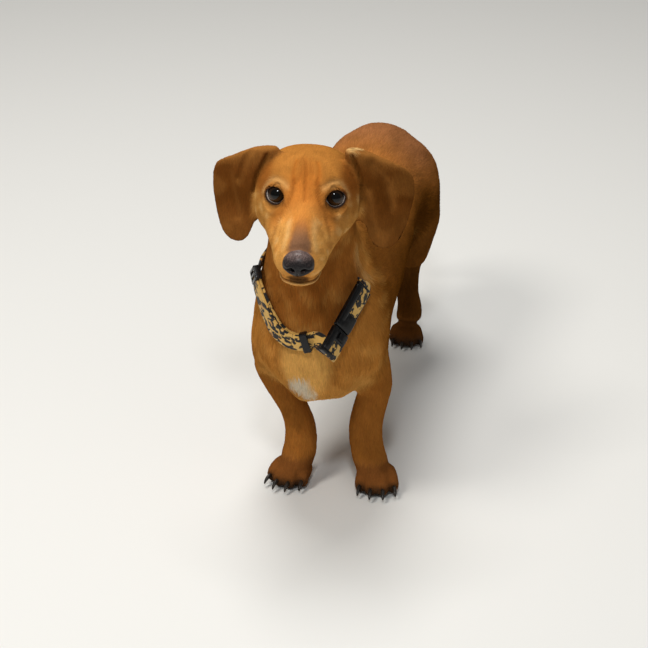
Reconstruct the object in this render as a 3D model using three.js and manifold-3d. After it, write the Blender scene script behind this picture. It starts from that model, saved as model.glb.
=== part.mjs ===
// A young smooth-haired dachshund, life size, standing still and looking up, with its collar on.
// Millimetres, +Z up. The dog faces -Y and its left side is +X. The floor is z = 0.
import * as THREE from "three";
import { mergeVertices } from "three/addons/utils/BufferGeometryUtils.js";
import Module from "manifold-3d";

const wasm = await Module();
wasm.setup();

// Driving sizes
const GAP = 0.3; // between pieces that touch
const CHEST_X = -10; // the chest leans a little to the dog's right of its front paws
const RUMP_X = -6;

const EYE_RADIUS = 9.9;
const EYE_HALF_SPACING = 23;
const EYE_TURN = 14; // degrees that each eye looks outwards
const LID_THICKNESS = 1.9;
const EYE_OPENING = { wide: 17.5, high: 14 };
const NOSE_HALF_WIDTH = 13;

const HEAD_PLACE = new THREE.Vector3(-14.2, -35.5, 298.2); // midway between the eyeballs
const HEAD_YAW = 6.7; // towards the dog's left
const HEAD_ROLL = 2; // left side lower
const HEAD_NOD = 3; // nose down

const CLAW_RADIUS = 2.3;
const HIND_PAW_SCALE = 0.84;

const STRAP_WIDTH = 16;
const STRAP_THICKNESS = 2;

const RED = { color: 0x9a5a26, roughness: 0.62, metalness: 0 };
const EAR_RED = { color: 0x7c4426, roughness: 0.6, metalness: 0 };
const LEATHER = { color: 0x2b2a2d, roughness: 0.42, metalness: 0 };
const EYE_BROWN = { color: 0x1c100a, roughness: 0.08, metalness: 0 };
const CLAW_BLACK = { color: 0x191514, roughness: 0.35, metalness: 0 };
const WEBBING = { color: 0xc09a4c, roughness: 0.8, metalness: 0 };
const PLASTIC = { color: 0x121214, roughness: 0.35, metalness: 0 };

const radians = THREE.MathUtils.degToRad;
const X = new THREE.Vector3(1, 0, 0);
const Y = new THREE.Vector3(0, 1, 0);
const Z = new THREE.Vector3(0, 0, 1);
const SIGNS = { left: 1, right: -1 };
const SIDES = Object.keys(SIGNS);

// Solids

// The closed solid of a geometry whose shared corners are merged, turned to face outwards.
function solid(geometry) {
  const bare = new THREE.BufferGeometry();
  bare.setAttribute("position", geometry.getAttribute("position").clone());
  bare.setIndex(geometry.getIndex());
  const merged = mergeVertices(bare, 1e-4);
  const position = merged.getAttribute("position");
  const corners = Array.from(merged.getIndex().array);
  const faces = [];
  let volume = 0;
  for (let i = 0; i < corners.length; i += 3) {
    const [a, b, c] = corners.slice(i, i + 3);
    if (a === b || b === c || c === a) continue;
    const [pa, pb, pc] = [a, b, c].map((k) =>
      new THREE.Vector3().fromBufferAttribute(position, k),
    );
    volume += pa.dot(pb.cross(pc));
    faces.push(a, b, c);
  }
  if (volume < 0) faces.reverse();
  return new wasm.Manifold(
    new wasm.Mesh({
      numProp: 3,
      vertProperties: new Float32Array(position.array),
      triVerts: new Uint32Array(faces),
    }),
  );
}

// The largest closed surface of a solid: fused hollows are filled and loose scraps dropped.
function largest(made) {
  return made.decompose().reduce((a, b) => (a.volume() > b.volume() ? a : b));
}

function geometryOf(made) {
  const mesh = made.getMesh();
  const geometry = new THREE.BufferGeometry();
  geometry.setAttribute(
    "position",
    new THREE.BufferAttribute(mesh.vertProperties, 3),
  );
  geometry.setIndex(new THREE.BufferAttribute(mesh.triVerts, 1));
  geometry.computeVertexNormals();
  return geometry;
}

function fused(solids) {
  return solids.reduce((a, b) => a.add(b));
}

function moved(geometry, matrix) {
  return geometry.clone().applyMatrix4(matrix);
}

// Lofts

// A closed body through a row of sections. Each section has its centre `at`, its half-width `wide`
// along `side`, and its depths `fore` and `hind` along and against `front`. `full` above 2 makes it
// squarer, `peak` and `keel` narrow it towards the front and back of the section, and `tilt` turns
// it about `side`. `grow` moves the whole surface outwards.
const SECTION = ["x", "y", "z", "wide", "fore", "hind", "full", "peak", "keel", "tilt"];

function stationsCurve(stations, plain) {
  const values = [];
  const places = [];
  let along = 0;
  stations.forEach((given, i) => {
    const station = { full: 2, peak: 0, keel: 0, tilt: 0, ...plain, ...given };
    if (i > 0) {
      const last = stations[i - 1];
      along += Math.hypot(given.x - last.x, given.y - last.y, given.z - last.z);
    }
    places.push(along);
    SECTION.forEach((key) => values.push(station[key]));
  });
  const curve = new THREE.CubicInterpolant(
    places,
    values,
    SECTION.length,
    new Float64Array(SECTION.length),
  );
  return { curve, length: along };
}

function loft(stations, options = {}) {
  const {
    sides = 20,
    rings = 20,
    side = X,
    front = Z,
    startCap = 12,
    endCap = 12,
    grow = 0,
    shape = null,
    plain = {},
  } = options;
  const { curve, length } = stationsCurve(stations, plain);
  const geometry = new THREE.SphereGeometry(1, sides, rings);
  const position = geometry.getAttribute("position");
  const point = new THREE.Vector3();
  const power = (v, full) => Math.sign(v) * Math.abs(v) ** (2 / full);
  for (let i = 0; i < position.count; i++) {
    point.fromBufferAttribute(position, i);
    const polar = Math.acos(THREE.MathUtils.clamp(point.y, -1, 1)) / Math.PI;
    const share = 0.6 * polar + 0.2 * (1 - Math.cos(Math.PI * polar));
    const along = share * length;
    const [x, y, z, wide, fore, hind, full, peak, keel, tilt] =
      curve.evaluate(along);
    const fromEnd = Math.min(along / startCap, (length - along) / endCap, 1);
    const cap = Math.sqrt(Math.max(0, 1 - (1 - fromEnd) ** 2));
    const around = Math.hypot(point.x, point.z);
    const atPole = around < 1e-6 || polar < 1e-6 || polar > 1 - 1e-6;
    const across = atPole ? 0 : power(point.x / around, full);
    const deep = atPole ? 0 : power(point.z / around, full);
    const narrow = 1 - (deep > 0 ? peak : keel) * deep * deep;
    const outward = atPole ? 0 : grow;
    const reach = deep > 0 ? fore : hind;
    const tilted = front.clone().applyAxisAngle(side, radians(tilt));
    point
      .set(x, y, z)
      .addScaledVector(side, across * narrow * (wide * cap + outward))
      .addScaledVector(tilted, deep * (reach * cap + outward));
    if (grow && atPole) {
      const inside = curve.evaluate(length * (polar < 0.5 ? 0.01 : 0.99));
      const way = new THREE.Vector3(x - inside[0], y - inside[1], z - inside[2]);
      point.addScaledVector(way.normalize(), grow);
    }
    if (shape) shape(point);
    position.setXYZ(i, point.x, point.y, point.z);
  }
  return geometry;
}

// An egg-shaped ball with three half-sizes.
function ball(center, sizes, detail = 14) {
  const geometry = new THREE.SphereGeometry(1, detail, Math.round(detail * 0.7));
  geometry.scale(...sizes);
  geometry.translate(...center);
  return geometry;
}

// A soft swelling or hollow: the weight falls from 1 at the centre to 0 at the reach.
function falloff(point, center, reach) {
  const apart = Math.hypot(
    (point.x - center[0]) / reach[0],
    (point.y - center[1]) / reach[1],
    (point.z - center[2]) / reach[2],
  );
  return apart < 1 ? (1 - apart * apart) ** 2 : 0;
}

// Trunk: vertical sections from breast to buttocks, each with its own back and belly line
const TRUNK = [
  { y: -56, top: 182, belly: 134, wide: 28, level: 156 },
  { y: -40, top: 200, belly: 113, wide: 43, level: 156 },
  { y: -12, top: 226, belly: 97, wide: 53, level: 158 },
  { y: 25, top: 243, belly: 90, wide: 56, level: 160 },
  { y: 75, top: 247, belly: 89, wide: 56, level: 162 },
  { y: 130, top: 240, belly: 95, wide: 57, level: 166 },
  { y: 190, top: 235, belly: 108, wide: 54, level: 172 },
  { y: 245, top: 236, belly: 122, wide: 47, level: 182 },
  { y: 295, top: 236, belly: 128, wide: 46, level: 186 },
  { y: 332, top: 228, belly: 138, wide: 39, level: 188 },
  { y: 362, top: 210, belly: 158, wide: 22, level: 186 },
].map(({ y, top, belly, wide, level }) => ({
  x: THREE.MathUtils.mapLinear(y, -56, 362, CHEST_X, RUMP_X),
  y,
  z: level,
  wide,
  fore: top - level,
  hind: level - belly,
}));

function trunk() {
  return loft(TRUNK, {
    sides: 24,
    rings: 18,
    startCap: 26,
    endCap: 26,
    plain: { full: 2.15, peak: 0.12, keel: 0.18 },
  });
}

// Neck: sections from the breast up into the back of the skull, each with its throat and nape
const NECK = [
  { x: -9, z: 130, throat: -50, nape: 60, wide: 40 },
  { x: -10, z: 165, throat: -57, nape: 72, wide: 46 },
  { x: -13.5, z: 196, throat: -55, nape: 78, wide: 44 },
  { x: -15, z: 226, throat: -49, nape: 72, wide: 40.5 },
  { x: -16, z: 254, throat: -41, nape: 62, wide: 38 },
  { x: -17, z: 282, throat: -30, nape: 43, wide: 36 },
  { x: -17, z: 304, throat: -16, nape: 28, wide: 29 },
].map(({ x, z, throat, nape, wide }) => ({
  x,
  y: (throat + nape) / 2,
  z,
  wide,
  fore: (nape - throat) / 2,
  hind: (nape - throat) / 2,
}));

function neck() {
  return loft(NECK, {
    sides: 20,
    rings: 12,
    front: Y.clone().negate(),
    startCap: 24,
    endCap: 18,
    plain: { full: 2.1, tilt: -14 },
  });
}

// Head, in its own frame: the origin lies midway between the eyeballs and the nose points along -Y
const SKULL = [
  { at: -92, top: 4, jaw: -16, wide: 20, level: -6 },
  { at: -78, top: 11, jaw: -30, wide: 33, level: -8 },
  { at: -52, top: 22, jaw: -42, wide: 41, level: -11, full: 2.5 },
  { at: -26, top: 27.5, jaw: -47, wide: 43.5, level: -14, full: 2.5 },
  { at: -6, top: 26.5, jaw: -48, wide: 40.5, level: -15, full: 2.4 },
  { at: 10, top: 19.5, jaw: -46, wide: 34, level: -18, peak: 0.16 },
  { at: 24, top: 9.5, jaw: -43, wide: 27.5, level: -23, peak: 0.3 },
  { at: 40, top: 2.5, jaw: -41.5, wide: 24, level: -27, peak: 0.4 },
  { at: 58, top: -1.5, jaw: -41, wide: 21.5, level: -28, peak: 0.38 },
  { at: 74, top: -7, jaw: -40, wide: 18.5, level: -28, peak: 0.3 },
  { at: 83, top: -15, jaw: -38, wide: 14.5, level: -27, peak: 0.2 },
].map(({ at, top, jaw, wide, level, peak = 0.08, full = 2.2 }) => ({
  full,
  x: 0,
  y: -at,
  z: level,
  wide,
  fore: top - level,
  hind: level - jaw,
  peak,
}));

const JAW = [
  { at: -30, top: -24, chin: -49, wide: 26 },
  { at: 0, top: -27, chin: -52.5, wide: 25 },
  { at: 28, top: -31, chin: -52, wide: 21 },
  { at: 52, top: -33, chin: -51, wide: 18 },
  { at: 70, top: -35, chin: -49.5, wide: 14.5 },
  { at: 78.5, top: -37, chin: -46, wide: 10 },
].map(({ at, top, chin, wide }) => ({
  x: 0,
  y: -at,
  z: (top + chin) / 2,
  wide,
  fore: (top - chin) / 2,
  hind: (top - chin) / 2,
}));

// Brow ridges, the furrow between them, the hollows under the eyes and the cheeks.
const FACE_FORMS = [
  { at: [18, -14, 22], reach: [15, 16, 14], rise: 3.2 },
  { at: [0, -6, 30], reach: [9, 34, 16], rise: -2.2 },
  { at: [23, -30, -2], reach: [16, 16, 14], rise: -3.4 },
  { at: [36, 22, -22], reach: [20, 36, 22], rise: 2.6 },
  { at: [19, -56, -26], reach: [12, 26, 14], rise: 1.8 },
  { at: [34, 52, 22], reach: [18, 28, 20], rise: -1.5 },
];

function faceForms(point) {
  const outward = new THREE.Vector3(point.x, 0, point.z + 12).normalize();
  const here = point.clone();
  for (const { at, reach, rise } of FACE_FORMS) {
    const mirrored = [Math.sign(here.x || 1) * at[0], at[1], at[2]];
    const weight = falloff(here, at[0] ? mirrored : at, reach);
    point.addScaledVector(outward, rise * weight);
  }
}

function skull(grow = 0) {
  return loft(SKULL, {
    sides: 30,
    rings: 28,
    startCap: 16,
    endCap: 9,
    grow,
    shape: faceForms,
  });
}

function lowerJaw(grow = 0) {
  return loft(JAW, {
    sides: 18,
    rings: 12,
    startCap: 14,
    endCap: 8,
    grow,
    plain: { full: 2.3, peak: 0.1, keel: 0.3 },
  });
}

const headMatrix = new THREE.Matrix4().compose(
  HEAD_PLACE,
  new THREE.Quaternion().setFromEuler(
    new THREE.Euler(
      radians(HEAD_NOD),
      radians(HEAD_ROLL),
      radians(HEAD_YAW),
      "ZYX",
    ),
  ),
  new THREE.Vector3(1, 1, 1),
);

// Eyes: the ball, the lids round it and the almond opening between them
function eyePlace(sign) {
  return new THREE.Matrix4().compose(
    new THREE.Vector3(sign * EYE_HALF_SPACING, 0, 0),
    new THREE.Quaternion().setFromEuler(
      new THREE.Euler(radians(-8), 0, radians(sign * EYE_TURN), "ZXY"),
    ),
    new THREE.Vector3(1, 1, 1),
  );
}

function eyeball(sign, grow = 0) {
  const radius = EYE_RADIUS + grow;
  return moved(ball([0, 0, 0], [radius, radius, radius]), eyePlace(sign));
}

function lidBall(sign) {
  const radius = EYE_RADIUS + LID_THICKNESS;
  return solid(moved(ball([0, 0, 0], [radius, radius, radius]), eyePlace(sign)));
}

function lidOpening(sign) {
  const { wide, high } = EYE_OPENING;
  const almond = new THREE.Shape();
  const corner = wide / 2;
  const rise = high * 0.7;
  const sag = high * 0.64;
  almond.moveTo(-corner, 0);
  almond.bezierCurveTo(-wide / 4, rise, wide / 4, rise, corner, 0);
  almond.bezierCurveTo(wide / 4, -sag, -wide / 4, -sag, -corner, 0);
  const cut = new THREE.ExtrudeGeometry(almond, {
    depth: 3 * EYE_RADIUS,
    bevelEnabled: false,
    curveSegments: 8,
  });
  cut.rotateX(Math.PI / 2);
  cut.rotateY(radians(sign * 6));
  return moved(cut, eyePlace(sign));
}

// Nose leather with two nostrils and the groove between them
const NOSE_CENTER = [0, -80, -24];
const NOSE_SIZES = [NOSE_HALF_WIDTH, 10.5, 11.5];

function noseLeather(grow = 0) {
  const z = NOSE_CENTER[2];
  const sizes = NOSE_SIZES.map((size) => size + grow);
  const geometry = ball(NOSE_CENTER, sizes, 18);
  const position = geometry.getAttribute("position");
  for (let i = 0; i < position.count; i++) {
    const height = (position.getZ(i) - z) / NOSE_SIZES[2];
    const narrow = height < 0 ? 1 - 0.3 * height * height : 1;
    position.setX(i, position.getX(i) * narrow);
    if (height < -0.2)
      position.setY(i, position.getY(i) + 5 * (-height - 0.2) ** 1.5);
  }
  return geometry;
}

function nostrils() {
  const [, y, z] = NOSE_CENTER;
  const cuts = [solid(ball([0, y - 10, z - 6], [0.8, 2.6, 7], 8))];
  for (const sign of [-1, 1]) {
    cuts.push(
      solid(ball([sign * 5.4, y - 9.2, z - 1.5], [2.7, 5, 2.5], 8)),
      solid(ball([sign * 9.4, y - 6.5, z - 3], [2.8, 4.6, 1.3], 8)),
    );
  }
  return fused(cuts);
}

// The line of the mouth, from one corner round under the nose to the other, as a shallow groove
const LIP_DEPTH = 1.8;

function mouthLine() {
  const line = new THREE.CatmullRomCurve3(
    [
      [4, -32],
      [26, -37.5],
      [50, -41],
      [70, -40.5],
      [95, -38.2],
    ].map(([at, level]) => new THREE.Vector3(0, -at, level)),
  );
  const blade = new THREE.Shape();
  const halfHead = 50;
  const halfGap = 0.55;
  blade.moveTo(-halfHead, -halfGap);
  blade.lineTo(halfHead, -halfGap);
  blade.lineTo(halfHead, halfGap);
  blade.lineTo(-halfHead, halfGap);
  const cut = new THREE.ExtrudeGeometry(blade, {
    steps: 24,
    extrudePath: line,
  });
  const core = solid(skull(-LIP_DEPTH)).add(solid(lowerJaw(-LIP_DEPTH)));
  return solid(cut).subtract(core);
}

// Ears: thin leaves cut into level slices, each from its inner to its outer edge
const EAR = [
  { drop: -2, inner: -10, outer: 5, thick: 5 },
  { drop: 5, inner: -9, outer: 20, thick: 5.2 },
  { drop: 12, inner: -6, outer: 32, thick: 4.2 },
  { drop: 22, inner: -1, outer: 44.5, thick: 2.8 },
  { drop: 36, inner: 4, outer: 48, thick: 2 },
  { drop: 52, inner: 7, outer: 46, thick: 1.7 },
  { drop: 70, inner: 11, outer: 41, thick: 1.6 },
  { drop: 84, inner: 19, outer: 34, thick: 1.5 },
];

const EAR_ROOT = {
  back: 26,
  left: { out: 38, up: 30, spread: -2 },
  right: { out: 33, up: 29, spread: 0 },
};

function ear(side) {
  const sign = SIGNS[side];
  const stations = EAR.map(({ drop, inner, outer, thick }) => ({
    x: (inner + outer) / 2,
    y: 0,
    z: -drop,
    wide: (outer - inner) / 2,
    fore: thick,
    hind: thick,
  }));
  const bent = (point) => {
    const out = point.x;
    const drop = -point.z;
    const arch = 10 * Math.sin((Math.PI * (out + 6)) / 62);
    point.y += 6 + 0.42 * out - arch - 0.1 * drop;
    point.x = sign * point.x;
  };
  const made = loft(stations, {
    sides: 16,
    rings: 14,
    front: Y.clone().negate(),
    startCap: 5,
    endCap: 7,
    shape: bent,
    plain: { full: 2.6 },
  });
  const { out: rootOut, up, spread } = EAR_ROOT[side];
  const place = new THREE.Matrix4().makeRotationY(radians(-sign * spread));
  place.setPosition(sign * rootOut, EAR_ROOT.back, up);
  return moved(made, place);
}

// The hollow at the root of the ear, on the side towards the head.
function earCup(side) {
  const sign = SIGNS[side];
  const { out, up } = EAR_ROOT[side];
  return ball([sign * (out + 10), EAR_ROOT.back + 6.5, up - 13], [11, 6, 7], 10);
}

// Tail: it hangs behind the dog in a soft curve
const TAIL = [
  { sway: 0, y: 338, z: 212, wide: 15 },
  { sway: 0, y: 368, z: 196, wide: 12.5 },
  { sway: -2, y: 394, z: 168, wide: 10.5 },
  { sway: -4, y: 414, z: 132, wide: 8.5 },
  { sway: -5, y: 430, z: 96, wide: 6.5 },
  { sway: -5, y: 448, z: 66, wide: 4.2 },
  { sway: -5, y: 458, z: 54, wide: 3 },
].map(({ sway, y, z, wide }) => ({
  x: RUMP_X + sway,
  y,
  z,
  wide,
  fore: wide,
  hind: wide,
}));

function tail() {
  const up = new THREE.Vector3(0, 0.72, 0.7).normalize();
  return loft(TAIL, {
    sides: 12,
    rings: 12,
    front: up,
    startCap: 8,
    endCap: 5,
  });
}

// Front legs: from the shoulder blade over the elbow to the wrist, level slices
const FORELEG = [
  { z: 230, out: 20, y: 52, wide: 12, fore: 22, hind: 22 },
  { z: 212, out: 29, y: 48, wide: 14, fore: 34, hind: 30 },
  { z: 190, out: 36, y: 32, wide: 18, fore: 40, hind: 40 },
  { z: 163, out: 41.5, y: 10, wide: 18.5, fore: 40, hind: 46 },
  { z: 136, out: 44, y: 10, wide: 18, fore: 34, hind: 40 },
  { z: 112, out: 45, y: 24, wide: 16.5, fore: 24, hind: 30 },
  { z: 92, out: 43, y: 32, wide: 15, fore: 17, hind: 20 },
  { z: 70, out: 35.5, y: 33, wide: 13.5, fore: 14, hind: 15 },
  { z: 50, out: 30.5, y: 31, wide: 13.5, fore: 13, hind: 13 },
  { z: 36, out: 31, y: 27, wide: 14.5, fore: 14, hind: 12 },
  { z: 22, out: 34, y: 20, wide: 15, fore: 16, hind: 12 },
  { z: 10, out: 36, y: 16, wide: 13, fore: 14, hind: 12 },
];
const FRONT_PAW = {
  left: { x: 39, y: 19, turn: 7 },
  right: { x: -37, y: 20, turn: 14 },
};

function foreleg(side) {
  const sign = SIGNS[side];
  const paw = FRONT_PAW[side];
  const stations = FORELEG.map((s) => {
    const low = THREE.MathUtils.clamp((120 - s.z) / 100, 0, 1);
    const straight = (1 - low) * CHEST_X + low * (paw.x - sign * 38);
    return { ...s, x: straight + sign * s.out };
  });
  return loft(stations, {
    sides: 14,
    rings: 18,
    front: Y.clone().negate(),
    startCap: 14,
    endCap: 8,
    plain: { full: 2.15 },
  });
}

// Hind legs: thigh, then the lower leg over the hock to the paw
const THIGH = [
  { z: 216, out: 24, y: 305, wide: 16, fore: 28, hind: 30 },
  { z: 192, out: 33, y: 304, wide: 20, fore: 40, hind: 44 },
  { z: 162, out: 38.5, y: 298, wide: 20, fore: 42, hind: 48 },
  { z: 134, out: 39, y: 292, wide: 17, fore: 34, hind: 42 },
  { z: 108, out: 36, y: 298, wide: 14, fore: 24, hind: 32 },
  { z: 88, out: 33, y: 312, wide: 12, fore: 18, hind: 24 },
];
const HOCK = [
  { z: 104, out: 35, y: 304, wide: 12, fore: 18, hind: 24 },
  { z: 84, out: 32, y: 322, wide: 11, fore: 16, hind: 22 },
  { z: 66, out: 30, y: 336, wide: 10, fore: 12, hind: 15 },
  { z: 46, out: 29, y: 340, wide: 10, fore: 10.5, hind: 11 },
  { z: 30, out: 28.5, y: 336, wide: 11, fore: 11, hind: 10 },
  { z: 18, out: 28, y: 328, wide: 12, fore: 12, hind: 10 },
];
const HIND_PAW = {
  left: { x: RUMP_X + 28, y: 322, turn: 6 },
  right: { x: RUMP_X - 28, y: 330, turn: 6 },
};

function hindPart(stations, side, caps) {
  const sign = SIGNS[side];
  const back = HIND_PAW[side].y - HIND_PAW.left.y;
  return loft(
    stations.map((s) => ({
      ...s,
      x: RUMP_X + sign * s.out,
      y: s.y + back * THREE.MathUtils.clamp((200 - s.z) / 150, 0, 1),
    })),
    {
      sides: 14,
      rings: 12,
      front: Y.clone().negate(),
      plain: { full: 2.1 },
      ...caps,
    },
  );
}

const thigh = (side) => hindPart(THIGH, side, { startCap: 14, endCap: 12 });
const hock = (side) => hindPart(HOCK, side, { startCap: 10, endCap: 8 });

// Paws: four arched toes over a broad pad, in a frame whose -Y points along the middle toes
function pawMatrix({ x, y, turn }, sign) {
  const matrix = new THREE.Matrix4().makeRotationZ(radians(sign * turn));
  return matrix.setPosition(x, y, 0);
}

const TOES = [
  { x: -13.2, y: -6, fan: -11 },
  { x: -4.9, y: -12.5, fan: -3 },
  { x: 4.9, y: -12.5, fan: 3 },
  { x: 13.2, y: -6, fan: 11 },
];

function toe({ x, y, fan }) {
  const made = loft(
    [
      { x: 0, y: 15, z: 15, wide: 5.2, fore: 6, hind: 8 },
      { x: 0, y: 4, z: 14.5, wide: 5.6, fore: 7, hind: 9 },
      { x: 0, y: -5, z: 10.5, wide: 6.1, fore: 7.5, hind: 9 },
      { x: 0, y: -11, z: 7, wide: 5.4, fore: 5.5, hind: 7.5 },
    ],
    { sides: 8, rings: 6, startCap: 5, endCap: 5, plain: { full: 2.2 } },
  );
  made.rotateZ(radians(fan));
  return made.translate(x, y, 0);
}

const CLAW = [
  { y: -7, z: 9.2, share: 1 },
  { y: -14, z: 8, share: 1 },
  { y: -18, z: 5.6, share: 0.72 },
  { y: -20.5, z: 2.6, share: 0.37 },
];

function claw({ x, y, fan }, grow = 0) {
  const stations = CLAW.map((station) => {
    const thick = CLAW_RADIUS * station.share + grow;
    return { x: 0, y: station.y, z: station.z, wide: thick, fore: thick, hind: thick };
  });
  const made = loft(stations, { sides: 6, rings: 6, startCap: 1.5, endCap: 1.5 });
  made.rotateZ(radians(fan));
  return made.translate(x, y, 0);
}

function pawPad() {
  return loft(
    [
      { x: 0, y: 18, z: 10, wide: 11, fore: 9, hind: 11 },
      { x: 0, y: 6, z: 12, wide: 17, fore: 12, hind: 13 },
      { x: 0, y: -8, z: 8.5, wide: 17, fore: 8, hind: 9.5 },
      { x: 0, y: -16, z: 6, wide: 11, fore: 4, hind: 7 },
    ],
    { sides: 12, rings: 6, startCap: 9, endCap: 7, plain: { full: 2.3 } },
  );
}

// Cuts that part the body. Each is a plane through a point, and what lies beyond it along the
// direction is the first part.
const HUGE = 1200;
const HEAD_CUT = { at: [0, 4, 279], toward: [0, -0.46, 1] };
const NECK_CUT = { at: [0, 5, 208], toward: [0, -0.58, 1] };
const TAIL_CUT = { at: [0, 357, 200], toward: [0, 1, 0.12] };
const HOCK_CUT = { at: [0, 312, 98], toward: [0, -0.3, 1] };
const PAW_CUT = {
  front: { at: [0, 0, 30], toward: [0, 0, 1] },
  hind: { at: [0, 0, 26], toward: [0, 0, 1] },
};

// Everything beyond a plane, as a box that is larger than the dog.
function beyond({ at, toward }, shift = 0) {
  const way = new THREE.Vector3(...toward).normalize();
  const box = new THREE.BoxGeometry(HUGE, HUGE, HUGE);
  box.translate(0, 0, HUGE / 2 + shift);
  box.applyQuaternion(new THREE.Quaternion().setFromUnitVectors(Z, way));
  box.translate(...at);
  return solid(box);
}

function parted(made, cut) {
  return [
    largest(made.intersect(beyond(cut, GAP / 2))),
    largest(made.subtract(beyond(cut, -GAP / 2))),
  ];
}

// A leg is what lies outside the trunk's middle and below a slope, between a front and a back
// plane. `inner` is how far out the slope starts at the height `top`, and below the height `knee`
// the zone reaches in to `foot`.
const FORELEG_CUT = {
  middle: CHEST_X,
  foot: 3,
  knee: 55,
  inner: 24,
  top: 96,
  slope: 32,
  from: -90,
  to: 92,
};
const THIGH_CUT = {
  middle: RUMP_X,
  foot: 10,
  knee: 60,
  inner: 16,
  top: 120,
  slope: 34,
  from: 232,
  to: 420,
};

function legZone({ middle, foot, knee, inner, slope, top, from, to }, sign, grow) {
  const far = 200;
  const side = new THREE.Shape();
  side.moveTo(foot - grow, knee + grow);
  side.lineTo(foot - grow, -far);
  side.lineTo(far, -far);
  side.lineTo(far, top + grow + (far - inner) * Math.tan(radians(slope)));
  side.lineTo(inner - grow, top + grow);
  const zone = new THREE.ExtrudeGeometry(side, {
    depth: to - from + 2 * grow,
    bevelEnabled: false,
  });
  zone.rotateX(Math.PI / 2);
  zone.translate(0, to + grow, 0);
  if (sign < 0) zone.scale(-1, 1, 1);
  zone.translate(middle, 0, 0);
  return solid(zone);
}

function zoned(made, cut, sign) {
  return [
    largest(made.intersect(legZone(cut, sign, -GAP / 2))),
    largest(made.subtract(legZone(cut, sign, GAP / 2))),
  ];
}

const floorCut = solid(
  new THREE.BoxGeometry(HUGE, HUGE, HUGE).translate(0, 0, -HUGE / 2),
);

// A paw's flesh, its claws and the sockets that hold them, in place.
function wholePaw(place, sign, scale) {
  const matrix = pawMatrix(place, sign);
  matrix.scale(new THREE.Vector3(scale, scale, scale));
  const put = (geometry) => solid(moved(geometry, matrix));
  return {
    flesh: fused([pawPad(), ...TOES.map((t) => toe(t))].map(put)),
    claws: TOES.map((t) => put(claw(t))),
    sockets: fused(TOES.map((t) => put(claw(t, GAP)))),
  };
}

const frontPaw = (side) => wholePaw(FRONT_PAW[side], SIGNS[side], 1);
const hindPaw = (side) => wholePaw(HIND_PAW[side], SIGNS[side], HIND_PAW_SCALE);

// Collar: a loop round the base of the neck, low in front. It lies on the body's own surface.
const COLLAR = {
  center: new THREE.Vector3(-14.5, -8, 226),
  halfWidth: 46,
  frontDepth: 50,
  backDepth: 56,
  frontDrop: 47,
  backRise: 36,
  lean: 3, // the dog's left side hangs lower
  clear: 0.8,
};
const LAYER = STRAP_THICKNESS + GAP; // from one strap to the one laid over it
const LOOP_STEPS = 72;
const LOOP_STEP = (2 * Math.PI) / LOOP_STEPS;

// The way from the middle of the collar to its loop. Angle 0 is in front and it grows towards the
// dog's left.
function loopWay(angle) {
  const { halfWidth, frontDepth, backDepth, frontDrop, backRise, lean } =
    COLLAR;
  const c = Math.cos(angle);
  const mixed = (front, back) =>
    ((front + back) / 2) * c + ((front - back) / 2) * c * c;
  return new THREE.Vector3(
    halfWidth * Math.sin(angle),
    -mixed(frontDepth, backDepth),
    -mixed(frontDrop, backRise) - lean * Math.sin(angle),
  );
}

// The loop's points and its outward directions, both as closed curves.
function fitLoop(bodySolid) {
  const skin = new THREE.Mesh(
    geometryOf(bodySolid),
    new THREE.MeshBasicMaterial({ side: THREE.DoubleSide }),
  );
  const caster = new THREE.Raycaster();
  const reach = [];
  const facing = [];
  for (let i = 0; i < LOOP_STEPS; i++) {
    const way = loopWay(i * LOOP_STEP).normalize();
    const along = loopWay((i + 0.5) * LOOP_STEP).sub(loopWay((i - 0.5) * LOOP_STEP)).normalize();
    const up = new THREE.Vector3().crossVectors(way, along).normalize();
    const ends = [-0.5, 0, 0.5].map((edge) => {
      const start = COLLAR.center.clone();
      start.addScaledVector(up, edge * STRAP_WIDTH);
      caster.set(start, way);
      return caster.intersectObject(skin)[0];
    });
    reach.push(Math.max(...ends.map((hit) => hit.distance)) + COLLAR.clear);
    const rise = ends[2].point.clone().sub(ends[0].point);
    facing.push(new THREE.Vector3().crossVectors(along, rise).normalize());
  }
  const smooth = (values, span, mix) =>
    values.map((_, i) => {
      const near = [];
      for (let k = -span; k <= span; k++)
        near.push(values[(i + k + LOOP_STEPS) % LOOP_STEPS]);
      return mix(near);
    });
  const mean = (near) => near.reduce((p, q) => p + q) / near.length;
  const middle = (near) =>
    near.reduce((sum, v) => sum.add(v), new THREE.Vector3()).normalize();
  const widest = smooth(reach, 1, (near) => Math.max(...near));
  const points = smooth(widest, 1, mean).map((far, i) =>
    loopWay(i * LOOP_STEP).setLength(far).add(COLLAR.center),
  );
  return {
    line: new THREE.CatmullRomCurve3(points, true),
    out: new THREE.CatmullRomCurve3(smooth(facing, 3, middle), true),
  };
}

// A bar of strap or plastic that follows the loop between two angles in degrees.
function bar(loop, { from, to, lift, thick, wide, steps, round = 0, aside = 0 }) {
  const geometry = new THREE.BoxGeometry(1, 1, 1, 2, steps, 1);
  const position = geometry.getAttribute("position");
  for (let i = 0; i < position.count; i++) {
    const share = position.getY(i) + 0.5;
    const turn = THREE.MathUtils.euclideanModulo(
      (from + (to - from) * share) / 360,
      1,
    );
    const at = loop.line.getPoint(turn);
    const along = loop.line.getTangent(turn);
    const out = loop.out.getPoint(turn);
    out.addScaledVector(along, -out.dot(along)).normalize();
    const up = new THREE.Vector3().crossVectors(out, along).normalize();
    const end = Math.abs(2 * share - 1) ** 6;
    const width = wide * (1 - round * end);
    const edge = Math.abs(position.getX(i)) * 2;
    const height = thick * (1 - 0.35 * round * edge * edge);
    at.addScaledVector(out, lift + (position.getZ(i) + 0.5) * height);
    at.addScaledVector(up, aside + position.getX(i) * width);
    position.setXYZ(i, at.x, at.y, at.z);
  }
  return solid(geometry);
}

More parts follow.
